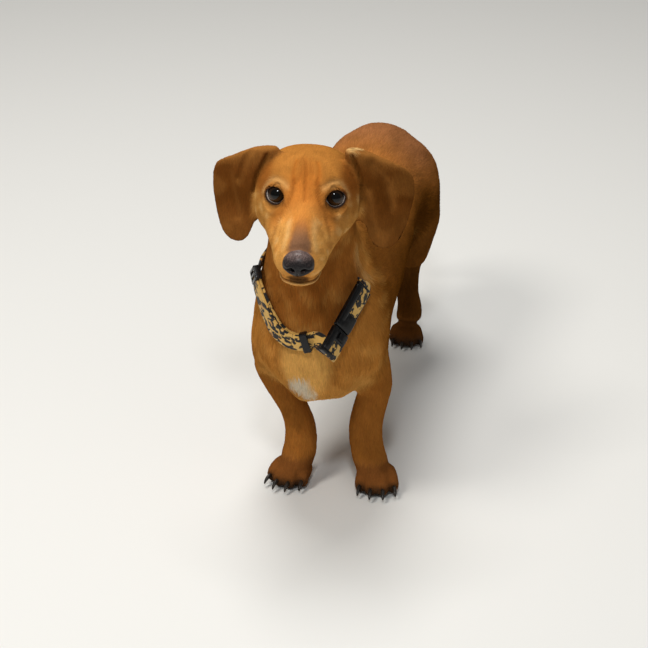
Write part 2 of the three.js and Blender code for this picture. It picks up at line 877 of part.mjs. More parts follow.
// A flat loop of plastic with the strap running through it.
function strapLoop(loop, { at, long, layers }) {
  const deep = layers * LAYER;
  const outer = {
    from: at - long / 2,
    to: at + long / 2,
    lift: -GAP,
    thick: deep + 2,
    wide: STRAP_WIDTH + 5,
    steps: 4,
    round: 0.1,
  };
  const hole = {
    from: at - long,
    to: at + long,
    lift: -5,
    thick: deep + GAP + 5,
    wide: STRAP_WIDTH + 2 * GAP,
    steps: 8,
  };
  return bar(loop, outer).subtract(bar(loop, hole));
}

const WEB = { lift: 0, thick: STRAP_THICKNESS, wide: STRAP_WIDTH };
const STRAP = { ...WEB, from: 45, to: 402, steps: 56 };
const STRAP_END = { ...WEB, from: -78, to: -4, lift: LAYER, steps: 11 };
const SLIDER = { at: -76, long: 10, layers: 2 };
const KEEPER = { at: -5, long: 6, layers: 2 };
const HARD = { lift: LAYER, steps: 8, round: 0.3, aside: 3.5 };
const BUCKLE = {
  buckle_socket: { ...HARD, from: 17, to: 46, thick: 7, wide: 17.5 },
  buckle_clip: { ...HARD, from: 46.6, to: 71, thick: 6, wide: 16 },
};

// Assembly
const root = new THREE.Group();

function add(name, made, finish, group = root) {
  const mesh = new THREE.Mesh(
    geometryOf(largest(made)),
    new THREE.MeshStandardMaterial(finish),
  );
  mesh.name = name;
  group.add(mesh);
}

const headGroup = new THREE.Group();
headGroup.applyMatrix4(headMatrix);
root.add(headGroup);
const headInverse = headMatrix.clone().invert();

// The flesh as one body, which thin cuts part below
const headParts = [skull(), lowerJaw()].map((part) => moved(part, headMatrix));
const flesh = [trunk(), neck(), tail(), ...headParts].map(solid);
for (const side of SIDES) {
  flesh.push(...[foreleg(side), thigh(side), hock(side)].map(solid));
  flesh.push(frontPaw(side).flesh, hindPaw(side).flesh);
}
const body = fused(flesh).subtract(floorCut);

const [headWhole, belowHead] = parted(body, HEAD_CUT);
const [neckWhole, belowNeck] = parted(belowHead, NECK_CUT);
const [tailWhole, beforeTail] = parted(belowNeck, TAIL_CUT);
add("neck", neckWhole, RED);
add("tail", tailWhole, RED);

let torso = beforeTail;
for (const side of SIDES) {
  for (const [end, cut, paw] of [
    ["front", FORELEG_CUT, frontPaw(side)],
    ["hind", THIGH_CUT, hindPaw(side)],
  ]) {
    const [leg, rest] = zoned(torso, cut, SIGNS[side]);
    torso = rest;
    const [upper, foot] = parted(leg, PAW_CUT[end]);
    if (end === "hind") {
      const [thighWhole, hockWhole] = parted(upper, HOCK_CUT);
      add("thigh_" + side, thighWhole, RED);
      add("hock_" + side, hockWhole, RED);
    } else {
      add("foreleg_" + side, upper, RED);
    }
    add("paw_" + end + "_" + side, foot.subtract(paw.sockets), RED);
    paw.claws.forEach((made, i) =>
      add(["claw", end, side, i + 1].join("_"), made, CLAW_BLACK),
    );
  }
}
add("torso", torso, RED);

// The head gets its lids, mouth and nose in its own frame
let face = solid(moved(geometryOf(headWhole), headInverse));
for (const side of SIDES) face = face.add(lidBall(SIGNS[side]));
face = face.subtract(mouthLine());
for (const side of SIDES) {
  face = face.subtract(solid(eyeball(SIGNS[side], GAP)));
  face = face.subtract(solid(lidOpening(SIGNS[side])));
  add("eye_" + side, solid(eyeball(SIGNS[side])), EYE_BROWN, headGroup);
}
face = face.subtract(solid(noseLeather(GAP)));
add("nose", solid(noseLeather()).subtract(nostrils()), LEATHER, headGroup);

const earCut = solid(skull(GAP));
for (const side of SIDES) {
  add(
    "ear_" + side,
    solid(ear(side)).subtract(earCut).subtract(solid(earCup(side))),
    EAR_RED,
    headGroup,
  );
}
add("head", face, RED, headGroup);

// Collar
const loop = fitLoop(body);
add("collar_strap", bar(loop, STRAP), WEBBING);
add("collar_strap_end", bar(loop, STRAP_END), WEBBING);
add("collar_slider", strapLoop(loop, SLIDER), PLASTIC);
add("collar_keeper", strapLoop(loop, KEEPER), PLASTIC);
for (const [name, size] of Object.entries(BUCKLE)) add(name, bar(loop, size), PLASTIC);

// The origin is the middle of the underside of the box round the whole dog
const bounds = new THREE.Box3().setFromObject(root, true);
const middle = bounds.getCenter(new THREE.Vector3()).setZ(bounds.min.z);
root.children.forEach((child) => child.position.sub(middle));

export default root;
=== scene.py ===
import math

import bmesh
import bpy
import numpy as np
from mathutils import Matrix, Vector
from mathutils.bvhtree import BVHTree


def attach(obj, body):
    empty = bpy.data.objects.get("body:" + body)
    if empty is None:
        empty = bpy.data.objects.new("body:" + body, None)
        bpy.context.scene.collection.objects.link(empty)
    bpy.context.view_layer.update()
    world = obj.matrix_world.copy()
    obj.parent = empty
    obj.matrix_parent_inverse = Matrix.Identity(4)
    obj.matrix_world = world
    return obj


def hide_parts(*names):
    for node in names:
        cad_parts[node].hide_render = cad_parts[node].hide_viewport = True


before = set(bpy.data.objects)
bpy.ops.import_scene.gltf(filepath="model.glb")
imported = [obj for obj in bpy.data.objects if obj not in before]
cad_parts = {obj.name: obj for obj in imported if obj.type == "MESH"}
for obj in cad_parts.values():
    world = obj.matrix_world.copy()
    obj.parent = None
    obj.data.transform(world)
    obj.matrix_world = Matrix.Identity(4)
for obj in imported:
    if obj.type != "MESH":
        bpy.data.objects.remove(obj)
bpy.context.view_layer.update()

rng = np.random.default_rng(7)

# Sizes in millimetres are measured from the point on the floor midway between the front paws.
# The dog faces -Y and its left side is +X.
MM = 0.001
MIDPOINT = np.array([17.752, -166.894, 0.0])

CAMERA_AT = (337.1, -1942.2, 1084.8)
CAMERA_TURN = 10
CAMERA_PITCH = 25
CAMERA_LENS = 141.2

HEAD_AT = np.array([-14.2, -35.5, 298.2])
HEAD_YAW, HEAD_ROLL, HEAD_NOD = 6.7, 2, 3
EYE_RADIUS = 9.9
EYE_SPACING = 23
EYE_TURN = 14
EYE_NOD = -8
NOSE_AT = np.array([0, -80, -24])
SIDES = {"left": 1, "right": -1}

PAWS = [f"paw_{end}_{side}" for end in ("front", "hind") for side in SIDES]
LEGS = [f"{part}_{side}" for part in ("foreleg", "thigh", "hock") for side in SIDES]
FLESH = ["head", "nose", "ear_left", "ear_right", "neck", "torso", "tail"] + LEGS + PAWS
CLAWS = sorted(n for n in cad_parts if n.startswith("claw_"))

# The solids are swelled a little, so that their joins close, and fused in cubes of this size.
VOXEL = 1.5
SWELL = 0.4


def turn(axis, degrees):
    """The 3 by 3 matrix of a turn about one axis."""
    return np.array(Matrix.Rotation(math.radians(degrees), 3, axis))


HEAD_TURN = turn("Z", HEAD_YAW) @ turn("Y", HEAD_ROLL) @ turn("X", HEAD_NOD)


def to_dog(points):
    return np.asarray(points, float) / MM - MIDPOINT


def from_dog(points):
    return (np.asarray(points, float) + MIDPOINT) * MM


def to_head(points):
    return (points - HEAD_AT) @ HEAD_TURN


def from_head(points):
    return np.asarray(points, float) @ HEAD_TURN.T + HEAD_AT


def eye_turn(sign):
    return turn("Z", sign * EYE_TURN) @ turn("X", EYE_NOD)


def to_eye(head_points, sign):
    return (head_points - np.array([sign * EYE_SPACING, 0, 0])) @ eye_turn(sign)


def from_eye(points, sign):
    return np.asarray(points, float) @ eye_turn(sign).T + np.array([sign * EYE_SPACING, 0, 0])


def smooth_step(low, high, value):
    t = np.clip((value - low) / (high - low), 0, 1)
    return t * t * (3 - 2 * t)


def unit(vectors):
    return vectors / np.maximum(np.linalg.norm(vectors, axis=-1), 1e-9)[..., None]


def blob(points, center, reach):
    """1 at the centre, falling softly to 0 at the reach."""
    apart = (((points - np.array(center, float)) / np.array(reach, float)) ** 2).sum(1)
    return np.clip(1 - apart, 0, 1) ** 2


# Mesh helpers


def deselect():
    for o in bpy.context.selected_objects:
        o.select_set(False)


def activate(o):
    deselect()
    o.select_set(True)
    bpy.context.view_layer.objects.active = o


def read(items, field, width, kind=np.int32):
    """One field of every point, edge, face or corner of a mesh."""
    flat = np.empty(len(items) * width, kind)
    items.foreach_get(field, flat)
    return flat.reshape(-1, width)


def coordinates(mesh):
    return read(mesh.vertices, "co", 3, np.float32).astype(float)


def normals(mesh):
    return read(mesh.vertices, "normal", 3, np.float32).astype(float)


def place(mesh, points):
    mesh.vertices.foreach_set("co", np.asarray(points, np.float32).ravel())
    mesh.update()


class Neighbours:
    """Averages values over each point's neighbours."""

    def __init__(self, mesh):
        start, end = read(mesh.edges, "vertices", 2).T
        self.one = np.concatenate([start, end])
        self.two = np.concatenate([end, start])
        self.size = len(mesh.vertices)
        self.count = np.maximum(np.bincount(self.one, minlength=self.size), 1)

    def mean(self, values):
        if values.ndim == 1:
            return np.bincount(self.one, values[self.two], self.size) / self.count
        return np.stack([self.mean(values[:, k]) for k in range(values.shape[1])], 1)

    def relax(self, values, times, share=0.5):
        for _ in range(times):
            values = values + (self.mean(values) - values) * share
        return values


def copy_of(name):
    """A copy of a CAD node with its loose corners merged."""
    piece = bpy.data.objects.new(name + "_copy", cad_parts[name].data.copy())
    bpy.context.scene.collection.objects.link(piece)
    bm = bmesh.new()
    bm.from_mesh(piece.data)
    bmesh.ops.remove_doubles(bm, verts=bm.verts, dist=1e-6)
    bm.to_mesh(piece.data)
    bm.free()
    piece.data.materials.clear()
    return piece


def set_vector(mesh, name, values):
    layer = mesh.attributes.new(name, "FLOAT_VECTOR", "POINT")
    layer.data.foreach_set("vector", np.asarray(values, np.float32).ravel())


def apply_modifier(piece, kind, **settings):
    activate(piece)
    modifier = piece.modifiers.new(kind.lower(), kind)
    for key, value in settings.items():
        setattr(modifier, key, value)
    bpy.ops.object.modifier_apply(modifier=modifier.name)


def joined(pieces, name):
    deselect()
    for piece in pieces:
        piece.select_set(True)
    bpy.context.view_layer.objects.active = pieces[0]
    bpy.ops.object.join()
    whole = bpy.context.active_object
    whole.name = whole.data.name = name
    return whole


def softer(piece):
    apply_modifier(piece, "SUBSURF", levels=2, render_levels=2)


# Skin: the flesh nodes fused into one closed surface


def fused_flesh():
    copies = [copy_of(name) for name in FLESH]
    for name, piece in zip(FLESH, copies):
        if name.startswith("ear"):
            softer(piece)
        apply_modifier(piece, "DISPLACE", strength=SWELL * MM, mid_level=0)
    piece = joined(copies, "skin")
    apply_modifier(piece, "REMESH", mode="VOXEL", voxel_size=VOXEL * MM, adaptivity=0)
    return piece


def nearest_parts(points):
    """The flesh node that lies nearest to each point."""
    corners, faces, owners = [], [], []
    for k, name in enumerate(FLESH):
        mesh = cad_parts[name].data
        start = len(corners)
        corners.extend(v.co for v in mesh.vertices)
        for face in mesh.polygons:
            faces.append([start + i for i in face.vertices])
            owners.append(k)
    tree = BVHTree.FromPolygons(corners, faces)
    return np.array([owners[tree.find_nearest(p)[2]] for p in points])


def ball_mask(points, center, reach):
    return np.linalg.norm(points - np.array(center, float), axis=1) < reach


def subdivide_where(piece, chosen):
    """Halves the edges of the faces whose corners are all chosen."""
    bm = bmesh.new()
    bm.from_mesh(piece.data)
    bm.verts.ensure_lookup_table()
    edges = {e for f in bm.faces if all(chosen[v.index] for v in f.verts) for e in f.edges}
    bmesh.ops.subdivide_edges(bm, edges=list(edges), cuts=1, use_grid_fill=True, smooth=0.3)
    bm.to_mesh(piece.data)
    bm.free()


def thin_out(piece, weight, ratio):
    """Makes the mesh coarser where the weight is high."""
    group = piece.vertex_groups.new(name="coarse")
    for share in (0.25, 0.5, 0.75, 1.0):
        chosen = np.nonzero(np.round(weight * 4) / 4 == share)[0]
        group.add([int(i) for i in chosen], share, "REPLACE")
    apply_modifier(piece, "DECIMATE", ratio=ratio, vertex_group="coarse", vertex_group_factor=8)
    piece.vertex_groups.clear()


def part_weights(piece, soften):
    """How much each point belongs to each flesh node, softened across the borders."""
    mesh = piece.data
    owner = nearest_parts(coordinates(mesh))
    weights = np.zeros((len(owner), len(FLESH)))
    weights[np.arange(len(owner)), owner] = 1
    return Neighbours(mesh).relax(weights, soften, 0.8)


# Lines and spots on the surface


def surface_tree(piece):
    corners = [Vector(v) for v in coordinates(piece.data)]
    return BVHTree.FromPolygons(corners, [f.vertices for f in piece.data.polygons])


LINE_STEPS = 8
LINE_REACH = 25.0


def laid(line):
    """A curve through the given points, in the head's frame, laid on the skin."""
    rough = np.array(line, float)
    fine = []
    for i in range(len(rough) - 1):
        before, after = rough[max(i - 1, 0)], rough[min(i + 2, len(rough) - 1)]
        one, two = rough[i], rough[i + 1]
        for t in np.linspace(0, 1, LINE_STEPS, endpoint=i == len(rough) - 2):
            bend = 2 * one + (two - before) * t
            bend += (2 * before - 5 * one + 4 * two - after) * t**2
            bend += (3 * one - before - 3 * two + after) * t**3
            fine.append(bend / 2)
    found = [tree.find_nearest(Vector(from_dog(from_head(q))))[0] for q in fine]
    return to_head(to_dog(np.array(found)))


def distance_to(points, line):
    """How far each point is from a line of short steps, up to LINE_REACH."""
    far = np.full(len(points), LINE_REACH)
    low, high = line.min(0) - LINE_REACH, line.max(0) + LINE_REACH
    near = np.nonzero(((points > low) & (points < high)).all(1))[0]
    here = points[near]
    best = far[near]
    for one, two in zip(line[:-1], line[1:]):
        way = two - one
        t = np.clip(((here - one) @ way) / max(way @ way, 1e-9), 0, 1)
        best = np.minimum(best, np.linalg.norm(here - one - t[:, None] * way, axis=1))
    far[near] = best
    return far


def flipped(line, sign):
    """A line given for the dog's left side, moved to the side of this sign."""
    return [(sign * x, y, z) for x, y, z in line]


def eye_line(line, sign):
    """A line given as out and up from the middle of the eye's opening."""
    out = np.array([(sign * u, -EYE_RADIUS, w) for u, w in line], float)
    return from_eye(out, sign)


def head_line(line):
    """A line in the dog's frame, seen from the head."""
    return to_head(np.array(line, float))


def stroke(points, line, width):
    """1 on a line, falling softly to 0 beside it."""
    return np.exp(-((distance_to(points, line) / width) ** 2))


def fold(points, line, depth, width, swell=0.45):
    """A crease with a soft swelling along both sides."""
    apart = distance_to(points, line)
    sides = swell * depth * np.exp(-(((apart - 2.1 * width) / (1.3 * width)) ** 2))
    return sides - depth * np.exp(-((apart / width) ** 2))


def wave(points, scale, phase=0.0):
    """A soft irregular wave between about -1 and 1, with bumps about as wide as the scale."""
    x, y, z = (points / scale + phase).T
    one = np.sin(1.9 * x + 1.3 * np.sin(1.1 * y + 0.7) + 0.8 * z)
    two = np.sin(1.7 * y - 1.2 * np.sin(1.3 * z + 1.9) - 0.6 * x + 2.1)
    three = np.sin(2.1 * z + 1.1 * np.sin(1.7 * x + 0.3) + 0.5 * y + 4.2)
    return (one + two + three) / 3


# Each fold of skin has a line, a depth and a width. Lines on the lids and the face are given for
# the dog's left side, and flipped for its right. Those on the lids run outwards and upwards from
# the middle of the eye's opening.
LID_FOLDS = [
    ([(-8.5, 5.5), (-4.5, 9.6), (0.5, 10.8), (6, 9.2), (9.5, 5)], 0.8, 0.8),
    ([(-8, -7), (-3, -10), (2.5, -10.4), (7.5, -7.5)], 0.5, 0.8),
    ([(-9, -11), (-3, -14.5), (4, -14.5)], 0.35, 1.5),
]
FACE_FOLDS = [
    ([(34.7, 0.3, 3), (32, 0, 10), (26.8, -0.5, 14.5), (20, -8, 16), (15, -13, 14)], 0.45, 2.0),
    ([(13, -16, -4), (16, -27, -12), (19, -40, -20)], 0.5, 2.4),
    ([(9, -14, 15.5), (10.5, -2, 21), (8.5, 8, 26)], 0.3, 1.3),
]
FOREHEAD_FOLDS = [
    ([(0.5, -28, 8), (0, -14, 16), (-1, 4, 24), (-3, 12, 26.5)], 0.45, 1.3),
    ([(-5, -12, 18), (-3.6, 0, 23), (-6, 12, 27)], 0.25, 1.2),
    ([(4.5, -4, 20), (3.2, 8, 25)], 0.2, 1.1),
]
BROW_FURROW = [(9.5, -10, 17), (10, -20, 8), (12, -23, -1)]
MUZZLE_STREAK = [(11, -46, -4), (10.5, -60, -8), (13, -72, -14)]
MOUTH = [(0, -78, -43), (6, -76.5, -42.8), (12.5, -71.5, -42), (19, -60, -42), (23, -46, -41)]
MOUTH += [(26, -30, -38.5), (29, -12, -35.5)]
# Lines in the dog's frame: where each ear leaves the head, and the creases down its flap.
EAR_GAPS = [
    [(-50.2, -17.2, 323.5), (-54.6, -16.8, 314.2), (-59, -16.5, 304), (-61.6, -16.7, 291.4)],
    [(19.9, -8.9, 323.6), (25.5, -6.8, 308.3), (27.3, -6.3, 294.5), (26.75, -13.3, 279.6)],
]
EAR_CREASES = [
    ([(-64.4, -17.4, 325.3), (-70.8, -16, 312.8), (-75.4, -14.9, 300.5)], 1.8, 3.4),
    ([(-84.7, -11.1, 305.5), (-81.1, -13, 288.6), (-75.7, -16.2, 267.7)], 1.8, 5.0),
    ([(35.9, -5.8, 316.1), (46, 0.2, 301.2), (50, 3.4, 277.7)], 2.2, 5.0),
    ([(30.3, -5.9, 293.5), (32.9, -5.8, 271.2), (41.1, -2.9, 249.8)], 1.6, 4.4),
]
NECK_RIDGE = [(23.4, 2, 243), (24, -3.8, 230.6), (35.4, 12.3, 204.1), (42.3, 37.4, 193.7)]
NECK_RIDGE += [(47, 60, 182)]

# How far the opening of the lids reaches from its middle, and its mean reach. Inside it the lid
# dips into the eyeball, and beside it the lid stands over the eyeball.
OPENING = {"outer": 7.4, "inner": 6.0, "upper": 6.2, "lower": 6.7}
OPENING_MEAN = 6.6
LID_OVER_EYE, LID_SWELL, LID_DIP = 0.75, 0.8, 1.9


def lid_gap(out, up):
    """Below 0 inside the opening of the lids, and about the distance from it outside."""
    half = np.where(out > 0, OPENING["outer"], OPENING["inner"])
    high = np.where(up > 0, OPENING["upper"], OPENING["lower"])
    return (np.hypot(out / half, up / high) - 1) * OPENING_MEAN


def eye_reach(head_points, sign):
    """Where points lie round one eye: out and up from its opening, in its frame, and how near."""
    eye = to_eye(head_points, sign)
    out, up = sign * eye[:, 0], eye[:, 2]
    near = (eye[:, 1] < 1) & (np.hypot(out, up) < 17) & (np.linalg.norm(eye, axis=1) < 26)
    return eye, out, up, near


def shape_lids(head_points):
    """Lays the lids on the eyeballs and opens them."""
    for sign in SIDES.values():
        eye, out, up, near = eye_reach(head_points, sign)
        flat = np.hypot(out, up)
        gap = lid_gap(out, up)
        lid = EYE_RADIUS + LID_OVER_EYE
        lid = lid + LID_SWELL * smooth_step(0, 1.8, gap) - LID_DIP * smooth_step(0.1, -0.8, gap)
        share = np.where(near, 1 - smooth_step(1.0, 5.5, gap), 0)
        wanted = eye.copy()
        wanted[:, 1] = -np.sqrt(np.maximum(lid**2 - np.minimum(flat, lid * 0.97) ** 2, 0.5))
        moved = from_eye(eye + (wanted - eye) * share[:, None], sign)
        head_points = np.where(near[:, None], moved, head_points)
    return head_points


def nose_form(nose):
    """The nostrils, the groove between them and the wings, as a rise in millimetres."""
    x, up = np.abs(nose[:, 0]), nose[:, 2]
    front = smooth_step(-1, -5, nose[:, 1])
    hole = np.exp(-((((x - 5.6) / 2.6) ** 2 + ((up + 3.0) / 2.1) ** 2) ** 1.4))
    slit_up = -3.4 + 0.22 * (x - 6)
    slit = np.exp(-(((x - 9.4) / 2.6) ** 2 + ((up - slit_up) / 0.9) ** 2))
    wing = np.exp(-(((x - 8.4) / 3) ** 2 + ((up - 0.8) / 2.0) ** 2))
    groove = np.exp(-((x / 0.7) ** 2)) * smooth_step(2, -2, up)
    dip = np.exp(-((x / 3.4) ** 2 + ((up - 3.5) / 5) ** 2))
    return front * (-4.8 * hole - 2.4 * slit + 0.7 * wing - 1.0 * groove - 0.35 * dip)


# Shaping of the skin

skin = fused_flesh()
here = coordinates(skin.data)
bulky = np.isin(nearest_parts(here), [FLESH.index(n) for n in ["neck", "torso", "tail"] + LEGS])
thin_out(skin, Neighbours(skin.data).relax(bulky.astype(float), 12, 0.8), 0.35)

# The muzzle, the forehead and the lids get a finer mesh, and the nose and the eyes' edges the finest.
here = to_head(to_dog(coordinates(skin.data)))
fine = (here[:, 1] < -52) & (np.abs(here[:, 0]) < 22) & (here[:, 2] > -50)
fine |= (np.abs(here[:, 0]) < 13) & (here[:, 1] > -34) & (here[:, 1] < 14) & (here[:, 2] > 4)
for sign in SIDES.values():
    fine |= ball_mask(here, (sign * EYE_SPACING, 0, 0), 18) & (here[:, 1] < 2)
subdivide_where(skin, fine)
here = to_head(to_dog(coordinates(skin.data)))
finest = ball_mask(here, NOSE_AT + (0, -2, -2), 13)
for sign in SIDES.values():
    finest |= ball_mask(to_eye(here, sign), (0, -9, 0), 10)
subdivide_where(skin, finest)

net = Neighbours(skin.data)
parts = part_weights(skin, 6)


def share_of(*names):
    """How much each point of the skin belongs to the named parts together."""
    return sum(parts[:, FLESH.index(n)] for n in names)


body_share = share_of("neck", "torso", "tail")
leg_share = share_of(*LEGS)
paw_share = share_of(*PAWS)
ear_share = share_of("ear_left", "ear_right")
nose_share = share_of("nose")
head_share = share_of("head")
on_head = head_share + nose_share


def by_part(body, leg, paw, ear, head=0.0):
    """A value at every point of the skin, from the values for each kind of part."""
    below = body * body_share + leg * leg_share + paw * paw_share
    return below + ear * ear_share + head * head_share


# Where the dressed body is fuller or leaner than the plain solids: the middle, how far round it
# the change reaches, and the greatest shift, in millimetres.
FILLS = [
    ((-56, -15, 222), (30, 45, 30), (-3.5, 0, 0)),
    ((-60, -15, 198), (30, 50, 32), (-6.5, 0, 0)),
    ((-64, -15, 165), (30, 50, 45), (-2.5, 0, 0)),
    ((-44, 262, 224), (34, 70, 34), (-6, 0, 5)),
    ((50, 285, 188), (60, 140, 80), (7.5, 0, 0)),
    ((48, 275, 120), (40, 80, 50), (2.5, 0, 0)),
    ((26, 325, 30), (22, 60, 20), (4, 0, 0)),
    ((0, 300, 236), (95, 120, 60), (0, 0, 4.5)),
    ((-8, -30, 115), (42, 50, 22), (0, 0, -4.5)),
    ((26, -12, 108), (22, 45, 28), (-5, 0, -8)),
    ((16, -28, 114), (22, 40, 18), (0, 0, -2)),
    ((31, -5, 99), (18, 50, 22), (-6, 0, -3)),
    ((-16, -28, 112), (20, 40, 20), (0, 0, -4)),
    ((18, 18, 60), (22, 50, 52), (-5.5, 0, 0)),
    ((-20, 25, 55), (20, 40, 48), (3, 0, 0)),
    ((-27, -3, 104), (20, 40, 24), (5, 0, -5)),
    ((54, 12, 120), (22, 50, 40), (-5, 0, 0)),
    ((-58, 0, 88), (22, 50, 45), (-4, 0, 0)),
    ((22, 330, 60), (45, 60, 62), (-3.0, 0, 0)),
    ((8, 330, 45), (16, 60, 62), (-4.0, 0, 0)),
]


def filled(points):
    return points + sum(blob(points, at, reach)[:, None] * np.array(shift) for at, reach, shift in FILLS)


EAR_LONGER, LEFT_EAR_WIDER, RIGHT_EAR_WIDER = 6.0, 5.5, 1.5
EARS_MIDDLE = -14


def stretch_ears(points):
    """Lets the flaps hang lower and wider than the solids' plain ones."""
    x, _, z = points.T
    grown = points.copy()
    grown[:, 2] -= EAR_LONGER * ear_share * smooth_step(312, 255, z)
    outer = ear_share * smooth_step(330, 300, z) * smooth_step(25, 50, np.abs(x - EARS_MIDDLE))
    grown[:, 0] += np.where(x > 0, LEFT_EAR_WIDER, -RIGHT_EAR_WIDER) * outer
    return grown


# The joins are eased out in rounds, more on the body than on the paws and the ears.
EASE_ROUNDS, BODY_ROUNDS = 24, 30
ease = by_part(0.5, 0.35, 0.1, 0.2, 0.3)
points = coordinates(skin.data)
for _ in range(EASE_ROUNDS):
    points += (net.mean(points) - points) * ease[:, None]
for _ in range(BODY_ROUNDS):
    points += (net.mean(points) - points) * (0.5 * np.clip(body_share, 0, 1) ** 3)[:, None]
place(skin.data, points)
# The skin lies inside the solids by the depth of the coat on each part.
sunk = SWELL + by_part(0.75, 0.6, 0.35, 0.25, 0.35)
facing = net.relax(normals(skin.data), 2)
points = stretch_ears(to_dog(points) - facing * sunk[:, None])
fuller = np.clip(1 - ear_share - head_share - nose_share, 0, 1)[:, None]
points += (filled(points) - points) * fuller
place(skin.data, from_dog(points))

tree = surface_tree(skin)
head_points = to_head(points)
rise = nose_form(head_points - NOSE_AT) * smooth_step(0.3, 0.8, nose_share)
for sign in SIDES.values():
    for line, depth, width in FACE_FOLDS:
        rise += fold(head_points, laid(flipped(line, sign)), depth, width)
    rise += 3.0 * blob(head_points, (sign * 29, -30, -24), (16, 30, 22)) * head_share
for line, depth, width in FOREHEAD_FOLDS:
    rise += fold(head_points, laid(line), depth, width)
mouth = laid(flipped(MOUTH, -1)[:0:-1] + MOUTH)
rise += fold(head_points, mouth, 1.5, 0.95, 0.5)
ear_gaps = [laid(head_line(line)) for line in EAR_GAPS]
for line in ear_gaps:
    rise += fold(head_points, line, 2.2, 1.5, 0.2)
billow = 1.6 * np.sin(points[:, 0] / 7.5 + 1.0) * smooth_step(320, 290, points[:, 2])
for line, depth, width in EAR_CREASES:
    crease = laid(head_line(line))
    rise += fold(head_points, crease, 0.25 * depth, 0.7 * width, 0.3)
    billow += depth * stroke(head_points, crease, width)
ridge = laid(head_line(NECK_RIDGE))
rise += 1.3 * stroke(head_points, ridge, 4.5) + 0.35 * wave(points, 9) * ear_share
wrists = share_of("foreleg_left", "foreleg_right") * smooth_step(62, 52, points[:, 2])
rise -= wrists * 0.35 * np.maximum(np.sin(points[:, 2] / 1.35 + 0.6 * wave(points, 8)), 0) ** 2
head_points = head_points + np.array([0, 1, 0]) * (billow * ear_share)[:, None]
head_points = shape_lids(head_points + facing @ HEAD_TURN * rise[:, None])
points = from_head(head_points)
place(skin.data, from_dog(points))

tree = surface_tree(skin)
rise = np.zeros(len(points))
for sign in SIDES.values():
    for line, depth, width in LID_FOLDS:
        rise += fold(head_points, laid(eye_line(line, sign)), depth, width)
points = points + normals(skin.data) * rise[:, None]
place(skin.data, from_dog(points))
head_points = to_head(points)
facing = normals(skin.data)
tree = surface_tree(skin)

# Colours of the coat

# Paints as they look in soft daylight, from 0 to 255
PAINT = {
    "tan": (172, 113, 50),
    "orange": (202, 126, 54),
    "cheek": (212, 158, 84),
    "cream": (232, 192, 128),
    "red": (170, 98, 34),
    # Painted shade for the creases, the throat and the sides of the head, and dark streaks of hair on the
    # muzzle
    "furrow_shade": (134, 74, 26),
    "shade": (84, 48, 14),
    "smudge": (52, 34, 26),
    "wedge": (122, 88, 66),
    "ear": (112, 64, 24),
    # Pale patches of the ears, and painted highlights on them
    "ear_pale_and_highlight": (150, 98, 46),
    "back": (168, 106, 46),
    "rump": (150, 98, 60),
    # A darker brown with painted shade, for the flank
    "flank_brown_and_shade": (112, 66, 18),
    # Painted shade, over a darker brown on the hind legs
    "dark_brown_and_shade": (50, 26, 6),
    "leg": (148, 92, 38),
    "paw": (126, 77, 36),
    "toe": (48, 38, 30),
    "white": (208, 192, 166),
    "nose": (40, 37, 38),
    # A painted highlight on the top of the nose
    "nose_highlight": (112, 94, 90),
    "lip": (44, 30, 26),
}


def linear(colour):
    share = np.array(colour, float) / 255
    return np.where(share <= 0.04045, share / 12.92, ((share + 0.055) / 1.055) ** 2.4)


tint = np.tile(linear(PAINT["tan"]), (len(points), 1))
up = facing[:, 2]
rough = wave(points, 7) * 0.5 + wave(points, 3, 2.0) * 0.3


def brush(colour, share):
    """Lays a paint over the tint of the skin, from none of it at 0 to all of it at 1."""
    tint[:] += (linear(PAINT[colour]) - tint) * np.clip(share, 0, 1)[:, None]


def ear_tuft():
    """The tuft of long pale hair where the left ear leaves the head."""
    return blob(head_points, (35, 29, 32), (7, 7, 8))


def colour_body():
    """Paler in front and along the back; darker brown with painted shade on the flank and the hind legs,
    and painted shade under the body and on the throat.
    """
    y = points[:, 1]
    torso = share_of("torso", "tail")
    # The flank gets a darker brown with painted shade in it
    brush("flank_brown_and_shade", torso * smooth_step(-20, 40, y))
    brush("back", torso * smooth_step(-10, 80, y) * smooth_step(-0.2, 0.7, up))
    brush("rump", torso * smooth_step(200, 300, y) * smooth_step(0.1, 0.8, up))
    brush("cheek", 0.7 * torso * smooth_step(-0.3, -0.9, up))
    brush("leg", leg_share * 0.9)
    brush("paw", paw_share)
    # Painted shade on the hind legs, over their own darker brown, and under the belly and the rump
    brush("dark_brown_and_shade", 0.65 * share_of("thigh_left", "thigh_right"))
    brush("dark_brown_and_shade", 0.8 * share_of("hock_left", "hock_right"))
    brush("dark_brown_and_shade", 0.6 * share_of("paw_hind_left", "paw_hind_right"))
    low = torso * smooth_step(60, 140, y) * smooth_step(0.35, -0.2, up)
    brush("dark_brown_and_shade", 0.5 * low)
    brush("dark_brown_and_shade", 0.45 * torso * smooth_step(160, 260, y) * smooth_step(0.4, -0.1, up))
    # Painted shade on the throat, under the chin
    throat = share_of("neck") * smooth_step(20, -20, y)
    brush("furrow_shade", 0.6 * throat)


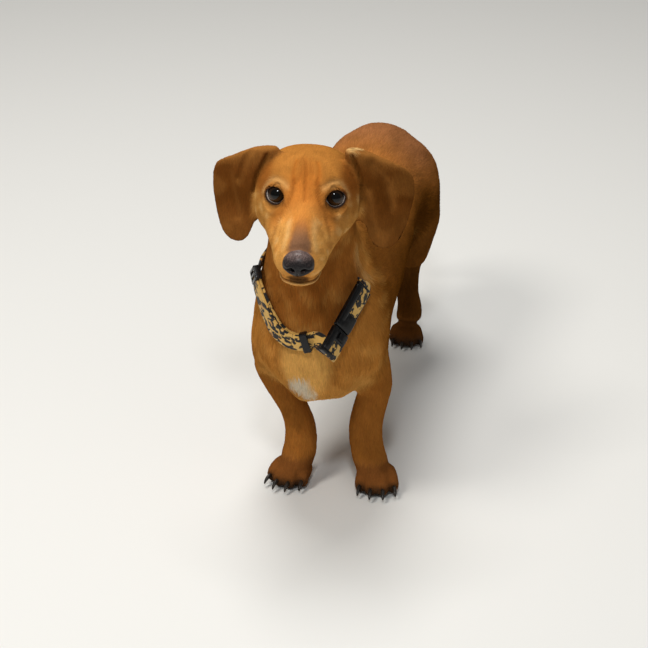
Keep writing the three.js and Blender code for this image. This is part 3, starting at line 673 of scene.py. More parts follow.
def colour_head():
    """Orange, with pale cheeks and brows, painted shade in the furrows and on the sides, and a grey wedge
    over the nose.
    """
    hx, hy, hz = head_points.T
    brush("orange", on_head * smooth_step(10, -20, hy + 0.6 * np.abs(hx)))
    side = np.abs(hx)
    muzzle = on_head * smooth_step(-22, -45, hy)
    brush("cheek", muzzle * (0.4 + 0.3 * smooth_step(6, 16, side) + 0.25 * rough))
    cheek = on_head * smooth_step(22, 30, side) * smooth_step(0, -12, hz)
    brush("cheek", 0.45 * cheek)
    # Painted shade on the temples, and more on the far side of the head
    temple = on_head * smooth_step(25, 33, side) * smooth_step(-8, 4, hz)
    brush("furrow_shade", 0.7 * temple)
    far_side = on_head * smooth_step(23, 32, hx) * smooth_step(-25, -8, hz)
    brush("furrow_shade", 0.4 * far_side)
    bridge = blob(head_points, (0, -52, -3), (16, 30, 16))
    brush("red", 0.6 * on_head * bridge)
    swirl = wave(points, 4.5, 3.0)
    lower = np.maximum(muzzle * smooth_step(7, 14, side), cheek)
    # Pale and dark streaks in the swirl of hair on the lower muzzle and the cheeks
    brush("cream", 0.32 * lower * smooth_step(0.15, 0.6, swirl))
    brush("furrow_shade", 0.3 * lower * smooth_step(-0.15, -0.6, swirl))
    brush("red", 0.6 * on_head * blob(head_points, (0, -8, 18), (15, 34, 22)))
    # Painted shade along the creases of the forehead
    for line, depth, _ in FOREHEAD_FOLDS:
        brush("furrow_shade", 0.8 * depth * stroke(head_points, laid(line), 1.9))
    for sign in SIDES.values():
        brow, bag, frown = [laid(flipped(line, sign)) for line, _, _ in FACE_FOLDS]
        brush("cream", 0.36 * stroke(head_points + (0, 0, 2.2), brow, 3.0))
        brush("red", 0.55 * stroke(head_points, frown, 2.2))
        # Painted shade along the furrow of the brow
        furrow_shade = laid(flipped(BROW_FURROW, sign))
        brush("furrow_shade", 0.6 * stroke(head_points, furrow_shade, 2.2))
        brush("shade", 0.3 * stroke(head_points, bag, 3.5))
        patch = blob(head_points, (sign * 24.5, -22, -9), (9, 14, 9))
        brush("shade", 0.55 * patch)
        brush("cream", 0.35 * stroke(head_points, laid(flipped(MUZZLE_STREAK, sign)), 3.4))
    wedge = smooth_step(9, 3, side - 0.16 * (-hy - 56) - 1.5 * rough)
    wedge *= smooth_step(-38, -76, hy) * smooth_step(-24, -14, hz)
    brush("wedge", 0.95 * wedge * on_head)


def colour_ears():
    """Darker than the body, with pale patches, painted highlights on their tops and folds, and painted
    shade across them and where they leave the head.
    """
    x, _, z = points.T
    brush("ear", ear_share)
    # Painted highlight along the top of the flaps; paler hair lower down
    brush("ear_pale_and_highlight", 0.8 * ear_share * smooth_step(306, 326, z + 4 * rough))
    brush("ear_pale_and_highlight", 0.35 * ear_share * smooth_step(285, 255, z + 6 * rough))
    # Painted shade across the middle of the flaps and over the whole left ear
    brush("shade", 0.4 * ear_share * smooth_step(22, 0, np.abs(z - 290 + 8 * rough)))
    brush("shade", 0.25 * ear_share * (x > 0))
    # Painted highlight where the flaps face up; pale patches at random
    brush("ear_pale_and_highlight", 0.9 * ear_share * smooth_step(0.15, 0.5, up))
    brush("ear_pale_and_highlight", 0.4 * ear_share * smooth_step(0.2, 0.6, wave(points, 12, 1.0)))
    # Painted highlight beside each crease
    for line, _, _ in EAR_CREASES:
        edge = laid(head_line(line)) + (3.5, 0, 0)
        brush("ear_pale_and_highlight", 0.5 * stroke(head_points, edge, 3.0))
    # Painted shade where the ears leave the head
    for line in ear_gaps:
        brush("shade", 0.9 * stroke(head_points, line, 2.2))


def colour_marks():
    """The ruffled chest with its white mark, the dark toes and the lips."""
    _, y, z = points.T
    brush("cream", 0.45 * stroke(head_points, ridge, 3.0) * smooth_step(200, 215, z))
    ruffle = wave(points * (1, 0.6, 1), 6, 5.0)
    brush("cheek", 0.22 * body_share * smooth_step(0.1, 0.6, ruffle) * smooth_step(60, 20, y))
    brush("shade", 0.22 * (body_share + leg_share) * smooth_step(-0.1, -0.6, ruffle))
    brush("cream", 0.9 * ear_tuft())
    chest = np.maximum(
        blob(points, (-20, -43, 124), (15, 30, 15)), blob(points, (-13, -38, 114), (11, 30, 13))
    )
    brush("cheek", smooth_step(0.02, 0.5, blob(points, (-13, -44, 150), (30, 60, 50))))
    brush("white", smooth_step(0.16, 0.55, chest + 0.12 * rough))
    tips = paw_share * smooth_step(16, 7, z) * smooth_step(0.2, -0.7, facing[:, 1])
    brush("toe", 0.85 * tips)
    brush("toe", paw_share * smooth_step(-0.3, -0.8, up) * smooth_step(6, 3, z))
    under = blob(head_points, (0, -80, -39), (15, 16, 7.5))
    brush("lip", 0.8 * smooth_step(0.1, 0.6, under))
    in_front = smooth_step(-50, -66, head_points[:, 1])
    brush("cream", 0.7 * stroke(head_points + (0, 0, 3.4), mouth, 1.8) * in_front)
    brush("lip", 0.95 * stroke(head_points, mouth, 1.3))


def eye_marks():
    """How far each point is from the opening of the nearer eye, and the smudge round it."""
    gap = np.full(len(points), 50.0)
    smudge = np.zeros(len(points))
    for sign in SIDES.values():
        _, out, up, near = eye_reach(head_points, sign)
        apart = lid_gap(out, up)
        gap = np.where(near, np.minimum(gap, apart), gap)
        inner = 0.9 * np.exp(-(((out + 9.0) / 3.2) ** 2 + ((up - 0.5) / 4.5) ** 2))
        ring = smooth_step(3.4, 0.6, apart)
        smudge = np.maximum(smudge, np.where(near, np.maximum(ring, inner), 0))
    return gap, smudge


gap, smudge = eye_marks()
leather = smooth_step(0.45, 0.75, nose_share)
rim = smooth_step(1.6, 0.7, gap)
colour_body()
colour_head()
colour_ears()
colour_marks()
brush("smudge", 0.9 * smudge)
brush("nose", leather)
# Painted highlight on the top of the nose
brush("nose_highlight", leather * smooth_step(0.25, 0.9, up))
brush("lip", rim)


def paint_points(mesh, name, colours):
    layer = mesh.attributes.new(name, "FLOAT_COLOR", "POINT")
    layer.data.foreach_set("color", np.c_[colours, np.ones(len(colours))].astype(np.float32).ravel())


LIES = {
    "torso": (0, 1, -0.25),
    "neck": (0, 0.45, -0.85),
    "tail": (0, 0.6, -0.8),
    "ear_left": (0.1, 0, -1),
    "ear_right": (-0.1, 0, -1),
    "head": (0, 1, -0.1),
    "nose": (0, 1, 0),
}
LIES |= {n: (0, 0.15, -1) for n in LEGS} | {n: (0, -1, -0.35) for n in PAWS}


def beside(ways, out):
    """Ways turned to run along the surface that faces out."""
    return ways - out * (ways * out).sum(1)[:, None]


def lie_of_coat():
    """The way that the hair lies at every point of the skin."""
    lie = parts @ np.array([LIES[n] for n in FLESH], float)
    hx = head_points[:, 0]
    front = share_of("torso", "neck") * smooth_step(40, -15, points[:, 1])
    lie += front[:, None] * np.array([0, -0.6, -1.2])
    lie += share_of("thigh_left", "thigh_right")[:, None] * np.array([0, 0.3, 0])
    side = head_share * smooth_step(10, 30, np.abs(hx))
    lie += np.stack([np.sign(hx) * side * 0.5, 0 * side, -0.5 * side], 1) @ HEAD_TURN.T
    lie += 3 * ear_tuft()[:, None] * np.array([0.3, 0, 1])
    return net.relax(unit(beside(lie, facing)), 8)


lie = lie_of_coat()
down = np.abs(lie[:, 2])
paint_points(skin.data, "tint", tint)
set_vector(skin.data, "marks", np.stack([leather, np.maximum(rim, leather), down], 1))
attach(skin, "root")
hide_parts(*FLESH)
activate(skin)
bpy.ops.object.shade_smooth()

# Materials


def new_material(name, **values):
    """A material with its tree and shader; the values are set on the shader's own sockets."""
    made = bpy.data.materials.new(name)
    made.use_nodes = True
    shader = made.node_tree.nodes["Principled BSDF"]
    for key, value in values.items():
        shader.inputs[key.replace("_", " ")].default_value = value
    return made, made.node_tree, shader


def node(tree, kind, wires=None, **settings):
    """A shader node; wires maps its sockets to values or to other nodes' sockets."""
    made = tree.nodes.new("ShaderNode" + kind)
    for key, value in settings.items():
        setattr(made, key, value)
    for key, value in (wires or {}).items():
        if isinstance(value, bpy.types.NodeSocket):
            tree.links.new(value, made.inputs[key])
        else:
            made.inputs[key].default_value = value
    return made


def maths(tree, operation, one, two=0.0):
    return node(tree, "Math", {0: one, 1: two}, operation=operation).outputs[0]


def mixed(tree, share, one, two):
    return node(tree, "Mix", {"Factor": share, 6: one, 7: two}, data_type="RGBA").outputs[2]


def scaled(tree, colour, share):
    wires = {0: colour, "Scale": share}
    return node(tree, "VectorMath", wires, operation="SCALE").outputs[0]


def stretched(tree, place_socket, scale):
    return node(tree, "Mapping", {"Vector": place_socket, "Scale": scale}).outputs[0]


def noise(tree, place_socket, scale, detail=3.0, rough=0.55):
    wires = {"Vector": place_socket, "Scale": scale, "Detail": detail, "Roughness": rough}
    return node(tree, "TexNoise", wires).outputs[0]


def spread(tree, value, low, high, to_low=0.0, to_high=1.0):
    wires = {"Value": value, 1: low, 2: high, 3: to_low, 4: to_high}
    return node(tree, "MapRange", wires).outputs[0]


def blend(tree, value, low, high, one, two):
    """The first colour where the value is low, and the second where it is high."""
    return mixed(tree, spread(tree, value, low, high), one, two)


def finish_with(tree, shader, colour, height=None, strength=0.0, distance=0.0):
    """Gives a shader its colour and, from a height, its relief."""
    tree.links.new(colour, shader.inputs["Base Color"])
    if height is not None:
        bump = node(tree, "Bump", {"Height": height, "Strength": strength, "Distance": distance})
        tree.links.new(bump.outputs[0], shader.inputs["Normal"])


def hair_colour_group():
    """Mottles a tint with soft patches and fine hair, and gives the height of the hair."""
    group = bpy.data.node_groups.new("hair_mottle", "ShaderNodeTree")
    for way, name, kind in (
        ("INPUT", "Tint", "Color"),
        ("INPUT", "Place", "Vector"),
        ("INPUT", "Down", "Float"),
        ("OUTPUT", "Colour", "Color"),
        ("OUTPUT", "Height", "Float"),
    ):
        group.interface.new_socket(name, in_out=way, socket_type="NodeSocket" + kind)
    given = group.nodes.new("NodeGroupInput").outputs
    result = group.nodes.new("NodeGroupOutput").inputs
    patches = noise(group, given["Place"], 55.0, 4.0)
    back = noise(group, stretched(group, given["Place"], (1.0, 0.16, 1.0)), 900.0, 2.0)
    fall = noise(group, stretched(group, given["Place"], (1.0, 1.0, 0.16)), 900.0, 2.0)
    hair = node(group, "Mix", {"Factor": given["Down"], 2: back, 3: fall}).outputs[0]
    light = spread(group, patches, 0.3, 0.7, 0.86, 1.12)
    fine = spread(group, hair, 0.3, 0.7, 0.87, 1.11)
    both = maths(group, "MULTIPLY", light, fine)
    group.links.new(scaled(group, given["Tint"], both), result["Colour"])
    group.links.new(hair, result["Height"])
    return group


hair_group = hair_colour_group()


def attribute(tree, name, socket="Vector"):
    return node(tree, "Attribute", attribute_name=name).outputs[socket]


def hair_node(tree, wires):
    """The group of the hair's colour, given the piece's own tint."""
    hair = node(tree, "Group", node_tree=hair_group)
    for key, value in {"Tint": attribute(tree, "tint", "Color"), **wires}.items():
        tree.links.new(value, hair.inputs[key])
    return hair


def skin_material():
    made, tree, shader = new_material("short_coat", Specular_IOR_Level=0.0, Coat_Roughness=0.36)
    place_socket = node(tree, "TexCoord").outputs["Object"]
    marks = node(tree, "SeparateXYZ", {0: attribute(tree, "marks")}).outputs
    hair = hair_node(tree, {"Place": place_socket, "Down": marks[2]})
    pebble = node(tree, "TexVoronoi", {"Vector": place_socket, "Scale": 750.0}, feature="F1").outputs[0]
    wet = spread(tree, marks[1], 0.0, 1.0, 0.62, 0.34)
    # The pebbles of the nose are painted lighter on their tops and darker in the grooves between them:
    # painted highlight and shade
    pebble_shading = spread(tree, pebble, 0.15, 0.6, 1.3, 0.6)
    pebble_shaded_tint = scaled(tree, attribute(tree, "tint", "Color"), pebble_shading)
    colour = mixed(tree, marks[0], hair.outputs["Colour"], pebble_shaded_tint)
    tree.links.new(wet, shader.inputs["Roughness"])
    tree.links.new(maths(tree, "MULTIPLY", marks[1], 0.5), shader.inputs["Coat Weight"])
    tops = maths(tree, "MULTIPLY", maths(tree, "SUBTRACT", 1.0, pebble), marks[0])
    furry = maths(tree, "MULTIPLY", hair.outputs["Height"], maths(tree, "SUBTRACT", 1.0, marks[1]))
    finish_with(tree, shader, colour, maths(tree, "ADD", tops, furry), 0.6, 0.0006)
    return made


skin.data.materials.append(skin_material())


def tuft_material():
    made, tree, shader = new_material("fine_tufts", Roughness=0.5, Specular_IOR_Level=0.0)
    hair = hair_node(tree, {"Place": attribute(tree, "root")})
    finish_with(tree, shader, hair.outputs["Colour"])
    return made


# Coat: fine tufts that lie along the body

# For each piece of coat: the flesh that it grows on, the number of tufts, and the side it is on,
# which is 0 for both.
COAT = {
    "coat_head": (["head", "nose"], 19000, 0),
    "coat_ears": (["ear_left", "ear_right"], 16000, 0),
    "coat_neck": (["neck"], 15000, 0),
    "coat_torso_left": (["torso"], 18000, 1),
    "coat_torso_right": (["torso"], 18000, -1),
    "coat_front_legs": (["foreleg_left", "foreleg_right", "paw_front_left", "paw_front_right"], 15000, 0),
    "coat_hind_legs": (["tail"] + LEGS[2:] + PAWS[2:], 17000, 0),
}
# Each tuft is mapped to a patch this far across, at its root's place on the map of the skin.
PATCH = 0.003
# A tuft is a closed spike: three points at its root, three halfway and one at its tip.
SPIKE_FACES = [(0, 1, 2), (1, 4, 5), (1, 5, 2), (0, 2, 5), (0, 5, 3), (0, 3, 4), (0, 4, 1), (4, 6, 5)]
SPIKE_FACES += [(3, 5, 6), (3, 6, 4)]
SPIKE_PATCH = [(-1, -1), (1, -1), (0, -1), (-0.8, 0), (0.8, 0), (0, 0), (0, 1)]
SPIKE_TONE = [0.8, 0.8, 0.85, 0.97, 0.97, 1.0, 1.12]
SPIKE_POINTS = len(SPIKE_PATCH)
# How far the normals lean to the side at a tuft's two edges and at its ridge
LEANS = (-0.35, 0.35, 0)
ROOT_DEPTH = 0.35
# The back's middle line runs at this x.
MIDDLE_OF_BACK = -10


def tuft_sizes():
    """The length, width and lift of a tuft at every point of the skin, and how thickly they stand."""
    long = by_part(8.5, 6.5, 3.6, 4.2)
    long += on_head * (4.0 - 2.2 * smooth_step(-30, -62, head_points[:, 1]))
    wide = by_part(0.95, 0.8, 0.6, 0.55) + 0.52 * on_head
    lift = by_part(0.35, 0.3, 0.2, 0.15, 0.12)
    near_eye = smooth_step(6, 1, gap)
    long -= near_eye * 0.55 * long
    lift += 0.8 * stroke(head_points, ridge, 4.0)
    tail_under = share_of("tail") * smooth_step(0.2, -0.6, facing[:, 2])
    breech = share_of("thigh_left", "thigh_right") * smooth_step(0.3, 0.9, facing[:, 1])
    lift += 1.2 * (tail_under + breech)
    long += 3.0 * (tail_under + breech)
    long += 5 * ear_tuft()
    lift += 1.6 * ear_tuft()
    bare = np.maximum(smooth_step(0.15, 0.35, nose_share), smooth_step(2.0, 1.4, gap))
    bare = np.maximum(bare, smooth_step(0.75, 0.9, stroke(head_points, mouth, 1.6)))
    pads = paw_share * smooth_step(-0.4, -0.7, facing[:, 2]) * smooth_step(5, 3, points[:, 2])
    thick = 1 - np.maximum(bare, pads)
    return long, wide, lift, thick


def unwrapped(here, owners, order):
    """A map of the skin: each part of the flesh is unrolled about its own long axis."""
    columns = math.ceil(math.sqrt(len(order)))
    flat = np.zeros((len(here), 2))
    for k, name in enumerate(order):
        chosen = owners == FLESH.index(name)
        if chosen.sum() < 3:
            continue
        middle = here[chosen].mean(0)
        axes = np.linalg.svd(here[chosen][::7] - middle, full_matrices=False)[2]
        along, one, two = ((here[chosen] - middle) @ axes.T).T
        around = np.arctan2(two, one) / (2 * math.pi) + 0.5
        along = (along - along.min()) / max(np.ptp(along), 1e-6)
        cell = np.array([k % columns, k // columns])
        flat[chosen] = (cell + 0.03 + 0.94 * np.stack([around, along], 1)) / columns
    return flat


skin.data.calc_loop_triangles()
triangles = read(skin.data.loop_triangles, "vertices", 3)
sides = points[triangles[:, 1:]] - points[triangles[:, :1]]
areas = np.linalg.norm(np.cross(sides[:, 0], sides[:, 1]), axis=1) / 2
owner = np.argmax(parts, axis=1)
long, wide, lift, thick = tuft_sizes()
face_starts = read(skin.data.polygons, "loop_start", 1).ravel()
face_lie = lie[read(skin.data.loops, "vertex_index", 1).ravel()[face_starts]]


def stepped(start, way, length):
    """The points of the skin reached from others by a step, with their normals and lies."""
    found = [tree.find_nearest(Vector(q)) for q in from_dog(start + way * length[:, None])]
    at = to_dog(np.array([f[0] for f in found]))
    out = np.array([f[1] for f in found])
    along = face_lie[[f[2] for f in found]]
    return at, out, unit(beside(along, out))


def spike_mesh(name, spots):
    """A mesh of closed spikes, from the places of each spike's points."""
    count = len(spots[0])
    corners = (np.array(SPIKE_FACES)[None] + SPIKE_POINTS * np.arange(count)[:, None, None]).ravel()
    faces = len(SPIKE_FACES) * count
    mesh = bpy.data.meshes.new(name)
    mesh.vertices.add(SPIKE_POINTS * count)
    mesh.loops.add(len(corners))
    mesh.polygons.add(faces)
    mesh.loops.foreach_set("vertex_index", corners.astype(np.int32))
    mesh.polygons.foreach_set("loop_start", np.arange(0, len(corners), 3, dtype=np.int32))
    mesh.polygons.foreach_set("use_smooth", np.ones(faces, bool))
    place(mesh, from_dog(np.stack(spots, 1).reshape(-1, 3)))
    mesh.validate()
    return mesh, corners


def grow(name, flesh, count, side):
    """One piece of coat, built as closed three-sided spikes."""
    here = np.isin(owner[triangles[:, 0]], [FLESH.index(n) for n in flesh])
    if side:
        here &= side * (points[triangles[:, 0], 0] - MIDDLE_OF_BACK) > 0
    weight = np.where(here, areas * thick[triangles].mean(1), 0)
    weight /= wide[triangles].mean(1) * long[triangles].mean(1)
    chosen = triangles[rng.choice(len(triangles), count, p=weight / weight.sum())]
    a, b = rng.random((2, count))
    fold_back = a + b > 1
    a, b = np.where(fold_back, 1 - a, a), np.where(fold_back, 1 - b, b)
    share = np.stack([1 - a - b, a, b], 1)

    def pick(values):
        return np.einsum("ij,ij...->i...", share, values[chosen])

    root, out, way = pick(points), unit(pick(facing)), pick(lie)
    swing = np.radians(rng.normal(0, 7, count) + 9 * wave(root, 11))
    way = unit(beside(way, out))
    way = way * np.cos(swing)[:, None] + np.cross(out, way) * np.sin(swing)[:, None]
    length = pick(long) * rng.uniform(0.75, 1.25, count)
    width = pick(wide) * rng.uniform(0.8, 1.2, count) / 2
    raised = pick(lift) * rng.uniform(0.5, 1.5, count)
    middle, middle_out, middle_way = stepped(root, way, length / 2)
    turned = unit(middle_way + 0.6 * way)
    tip, tip_out, _ = stepped(middle, turned, length / 2)
    across = np.cross(way, out)
    middle_across = np.cross(turned, middle_out)
    w, h = width[:, None], raised[:, None]
    spots = [
        root - across * w - out * ROOT_DEPTH,
        root + across * w - out * ROOT_DEPTH,
        root + out * (0.35 * w - 0.2),
        middle - middle_across * w * 0.8 + middle_out * (0.35 * h - 0.1),
        middle + middle_across * w * 0.8 + middle_out * (0.35 * h - 0.1),
        middle + middle_out * (0.4 * h + 0.5 * w),
        tip + tip_out * (h + 0.05),
    ]
    frames = ((out, across), (middle_out, middle_across))
    leans = [straight + lean * sides for straight, sides in frames for lean in LEANS]
    mesh, corners = spike_mesh(name, spots)
    tone = pick(tint) * rng.uniform(0.91, 1.1, (count, 1)) * rng.uniform(0.97, 1.03, (count, 3))
    paint_points(mesh, "tint", (tone[:, None] * np.array(SPIKE_TONE)[None, :, None]).reshape(-1, 3))
    set_vector(mesh, "root", np.repeat(from_dog(root), SPIKE_POINTS, axis=0))
    flat = unwrapped(root, owner[chosen[:, 0]], flesh)
    uv = (flat[:, None] + np.array(SPIKE_PATCH)[None] * PATCH / 2).reshape(-1, 2)
    layer = mesh.uv_layers.new(name="OFBake")
    layer.data.foreach_set("uv", uv[corners].astype(np.float32).ravel())
    leans = unit(np.stack([*leans, tip_out], 1).reshape(-1, 3))
    mesh.normals_split_custom_set_from_vertices(leans.tolist())
    piece = bpy.data.objects.new(name, mesh)
    bpy.context.scene.collection.objects.link(piece)
    mesh.materials.append(tufts)
    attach(piece, "root")
    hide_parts(*flesh)


tufts = tuft_material()
for name, (flesh, count, side) in COAT.items():
    grow(name, flesh, count, side)

# Eyes

# The turn and the rise of each eye's gaze, in degrees
GAZE = {"left": (13, -18), "right": (-10, -19)}
PUPIL, IRIS, CORNEA = 3.8, 7.1, 7.5
CORNEA_SWELL = 0.5


def eye_material():
    """Dark brown iris with fine spokes and a painted reflection low on it, a black pupil, and white round
    it; under clear gloss.
    """
    made, tree, shader = new_material(
        "eye_gloss", Specular_IOR_Level=0.0, Coat_Weight=1.0, Coat_Roughness=0.02, Coat_IOR=1.4
    )
    spot = attribute(tree, "gaze")
    part = node(tree, "SeparateXYZ", {0: spot}).outputs
    ring = part[0]
    spokes = noise(tree, stretched(tree, spot, (0.35, 2.4, 2.4)), 3.0, 3.0)
    brown = blend(tree, spokes, 0.3, 0.7, (0.008, 0.004, 0.002, 1), (0.028, 0.012, 0.005, 1))
    # Painted reflection: the lower part of the iris is lighter brown
    low = spread(tree, part[2], -4.5, 1.0, 0.55, 0.0)
    brown = mixed(tree, low, brown, (0.06, 0.03, 0.012, 1))
    dark = blend(tree, ring, PUPIL - 0.4, PUPIL + 0.5, (0.002, 0.002, 0.002, 1), brown)
    iris = blend(tree, ring, IRIS - 1.0, IRIS - 0.2, dark, (0.006, 0.004, 0.003, 1))
    veins = noise(tree, spot, 1.4, 4.0)
    white = blend(tree, veins, 0.35, 0.7, (0.86, 0.8, 0.76, 1), (0.62, 0.48, 0.42, 1))
    colour = blend(tree, ring, IRIS, IRIS + 0.5, iris, white)
    finish_with(tree, shader, colour, veins, 0.1, 0.0003)
    return made


def make_eye(side, finish):
    """An eyeball with a raised cornea, turned to look at the viewer."""
    sign = SIDES[side]
    deselect()
    bpy.ops.mesh.primitive_uv_sphere_add(segments=56, ring_count=36, radius=EYE_RADIUS)
    ball = bpy.context.active_object
    ball.name = ball.data.name = "eyeball_" + side
    local = coordinates(ball.data)
    ring = np.hypot(local[:, 0], local[:, 1])
    front = local[:, 2] > 0
    swell = np.where(front, CORNEA_SWELL * np.clip(1 - (ring / CORNEA) ** 2, 0, 1), 0)
    local *= (1 + swell / EYE_RADIUS)[:, None]
    beyond = np.where(front, ring, 2 * EYE_RADIUS)
    angle = np.arctan2(local[:, 1], local[:, 0])
    set_vector(ball.data, "gaze", np.stack([beyond, 3 * np.cos(angle), local[:, 1]], 1))
    azimuth, rise_by = GAZE[side]
    way = turn("Z", azimuth) @ turn("X", rise_by) @ turn("X", 90)
    centre = np.array([sign * EYE_SPACING, 0, 0])
    place(ball.data, from_dog(from_head(local @ way.T + centre)))
    activate(ball)
    bpy.ops.object.shade_smooth()
    ball.data.materials.append(finish)
    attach(ball, "root")
    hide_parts("eye_" + side)


eye_finish = eye_material()
for side in SIDES:
    make_eye(side, eye_finish)

# Claws


def claw_material():
    made, tree, shader = new_material("claw_horn", Roughness=0.38)
    place_socket = node(tree, "TexCoord").outputs["Object"]
    grain = noise(tree, stretched(tree, place_socket, (1.0, 0.25, 0.5)), 900.0, 3.0)
    dark = blend(tree, grain, 0.3, 0.7, (0.006, 0.005, 0.004, 1), (0.03, 0.022, 0.016, 1))
    finish_with(tree, shader, dark, grain, 0.25, 0.0003)
    return made


# The claws are a little smaller than their solids and sunk further into the toes.
CLAW_SIZE = 0.86
CLAW_SHIFT = np.array([0, 1.2, 0.2])

copies = [copy_of(name) for name in CLAWS]
for piece in copies:
    corners = to_dog(coordinates(piece.data))
    middle = corners.mean(0)
    place(piece.data, from_dog(filled(middle + (corners - middle) * CLAW_SIZE + CLAW_SHIFT)))
    softer(piece)
claws = joined(copies, "claws")
bpy.ops.object.shade_smooth()
claws.data.materials.append(claw_material())
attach(claws, "root")
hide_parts(*CLAWS)

# Collar: its pieces are modelled flat, with x across the strap, y along it from the front and z
# out from the neck, and are then wrapped round the neck.
COLLAR_AT = np.array([-14.5, -8, 226])
STRAP_FROM, STRAP_TO = 45, 402
STRAP_WIDE, STRAP_THICK, LAYER = 14, 2, 2.3
STRAP_OFF_SKIN = 0.5


def collar_way(angle):
    """The way from the middle of the collar to its loop; angle 0 is in front."""
    c, s = np.cos(np.radians(angle)), np.sin(np.radians(angle))
    deep = 53 * c - 3 * c * c
    drop = 41.5 * c + 5.5 * c * c
    return np.stack([46 * s, -deep, -drop - 3 * s], -1)


def softened(values):
    """Averages values given at every whole degree with those beside them."""
    return np.convolve(np.tile(values, 3), np.ones(9) / 9, "same")[360:720]


def collar_rings():
    """The line, the outward and the upward direction of the strap at every whole degree."""
    strap = copy_of("collar_strap")
    corners = to_dog(coordinates(strap.data))
    bpy.data.objects.remove(strap)
    angles = np.arange(0, 360, 0.5)
    ways = unit(collar_way(angles))
    reach = []
    for way in ways:
        hit = tree.ray_cast(Vector(from_dog(COLLAR_AT)), Vector(way))
        reach.append(hit[3] / MM if hit[0] else 55)
    line = COLLAR_AT + ways * np.array(reach)[:, None]
    apart = np.linalg.norm(corners[:, None] - line[None], axis=2)
    turned = (angles[np.argmin(apart, axis=1)] - STRAP_FROM + 4) % 360
    rings = corners[np.argsort(turned, kind="stable")].reshape(-1, 6, 3)
    middle = rings.mean(1)
    along = unit(np.gradient(middle, axis=0))
    wide = np.array([np.linalg.svd(ring - ring.mean(0))[2][0] for ring in rings])
    radial = middle - COLLAR_AT
    wide *= np.sign((np.cross(radial, along) * wide).sum(1))[:, None]
    out = unit(np.cross(along, wide))
    line = middle - out * STRAP_THICK / 2
    known = np.linspace(STRAP_FROM, STRAP_TO, len(rings))[:-1]
    result = []
    for values in (line, out, wide):
        even = [np.interp(np.arange(360), known, values[:-1, k], period=360) for k in range(3)]
        result.append(np.stack([softened(v) for v in even], 1))
    return result


loop_line, loop_out, loop_up = collar_rings()
loop_line = filled(loop_line)

# Where the strap runs beside the plain one: an angle and the shift there.
HANG = [
    (-170, (0, 0, 0)),
    (-140, (2, 12, -2)),
    (-120, (3, 20, -4)),
    (-104, (3, 21, -4)),
    (-94, (-3, 12, -2)),
    (-82, (-10, 0, 0)),
    (-64, (-10, 0, -1)),
    (-48, (-9, 0, -5)),
    (-36, (-7, 0, -7.5)),
    (-20, (-4, 0, -7.5)),
    (-4, (-1.5, 0, -5.5)),
    (10, (0, 0, -2)),
    (20, (0, 0, 0)),
    (68, (0, 0, 0)),
    (80, (0, 8, -2)),
    (104, (0, 11, -3)),
    (128, (0, 7, 0)),
    (145, (0, 0, 0)),
]
hang_at = [angle % 360 for angle, _ in HANG]
order = np.argsort(hang_at)
hang = np.array([shift for _, shift in HANG], float)[order]
hang_at = np.array(hang_at)[order]
for k in range(3):
    loop_line[:, k] += np.interp(np.arange(360), hang_at, hang[:, k], period=360)


def clearance():
    """How far the strap stands off the skin at every degree."""
    free = np.full(360, 50.0)
    for edge in (-6.5, 0, 6.5):
        for k, spot in enumerate(from_dog(loop_line + loop_up * edge)):
            near = tree.find_nearest(Vector(spot))
            away = Vector(spot) - near[0]
            free[k] = min(free[k], math.copysign(away.length, away.dot(near[1])) / MM)
    return free


def between(angles, begin, start, end, finish):
    """1 from start to end, falling softly to 0 at begin and finish, in degrees."""
    return smooth_step(begin, start, angles) * smooth_step(finish, end, angles)


# How far the strap sinks into the coat, in millimetres, and between which angles: under the fold
# of the neck on the dog's left, then off the neck at the slider, and into the coat behind it.
SINKS = [(7.0, (69, 77, 122, 138)), (-1.7, (262, 278, 286, 306)), (2.5, (215, 230, 262, 274))]
degrees = np.arange(360)
slack = softened(clearance() - STRAP_OFF_SKIN)
for depth, angles in SINKS:
    slack += depth * between(degrees, *angles)
loop_line = loop_line - loop_out * slack[:, None]
# The stiff buckle holds the strap straight between two angles.
BAR_FROM, BAR_TO = 17, 71
BAR_LOW, BAR_HIGH = np.array([10, -64, 172]), np.array([31.7, -17, 210.6])
BAR_MIDDLE = (BAR_FROM + BAR_TO) // 2
bar_share = (degrees - BAR_FROM)[:, None] / (BAR_TO - BAR_FROM)
bar_hold = between(degrees, BAR_FROM - 9, BAR_FROM + 3, BAR_TO - 1, BAR_TO + 9)[:, None]
bar_line = BAR_LOW + (BAR_HIGH - BAR_LOW) * bar_share
loop_line = loop_line + (bar_line - loop_line) * bar_hold
loop_out = unit(loop_out + (loop_out[BAR_MIDDLE] - loop_out) * bar_hold)
loop_along = unit(np.roll(loop_line, -1, axis=0) - np.roll(loop_line, 1, axis=0))
loop_up = unit(np.cross(loop_out, loop_along))
loop_out = unit(np.cross(loop_along, loop_up))
loop_angles = np.arange(-180, 541)
loop_steps = np.linalg.norm(np.diff((loop_line + loop_out)[loop_angles % 360], axis=0), axis=1)
loop_arc = np.concatenate([[0], np.cumsum(loop_steps)])
loop_arc -= loop_arc[180]


def arc(angle):
    """The distance along the collar, in millimetres, at an angle in degrees."""
    return float(np.interp(angle, loop_angles, loop_arc))


# The bar's low point, BAR_LOW, lies this far along the collar.
BAR_LOW_AT = arc(BAR_FROM) + 4


def stiff(origin, start, along, out):
    """The way from flat places to a piece that doesn't bend, such as one of plastic."""
    up = unit(np.cross(out, along))
    out = np.cross(along, up)

    def way(flat):
        return origin + np.outer(flat[:, 1] - start, along) + flat[:, 2:] * out + flat[:, :1] * up

    return way


def stiff_at(angle):
    return stiff(loop_line[angle], arc(angle), loop_along[angle], loop_out[angle])


on_bar = stiff(BAR_LOW, BAR_LOW_AT, unit(BAR_HIGH - BAR_LOW), loop_out[BAR_MIDDLE])


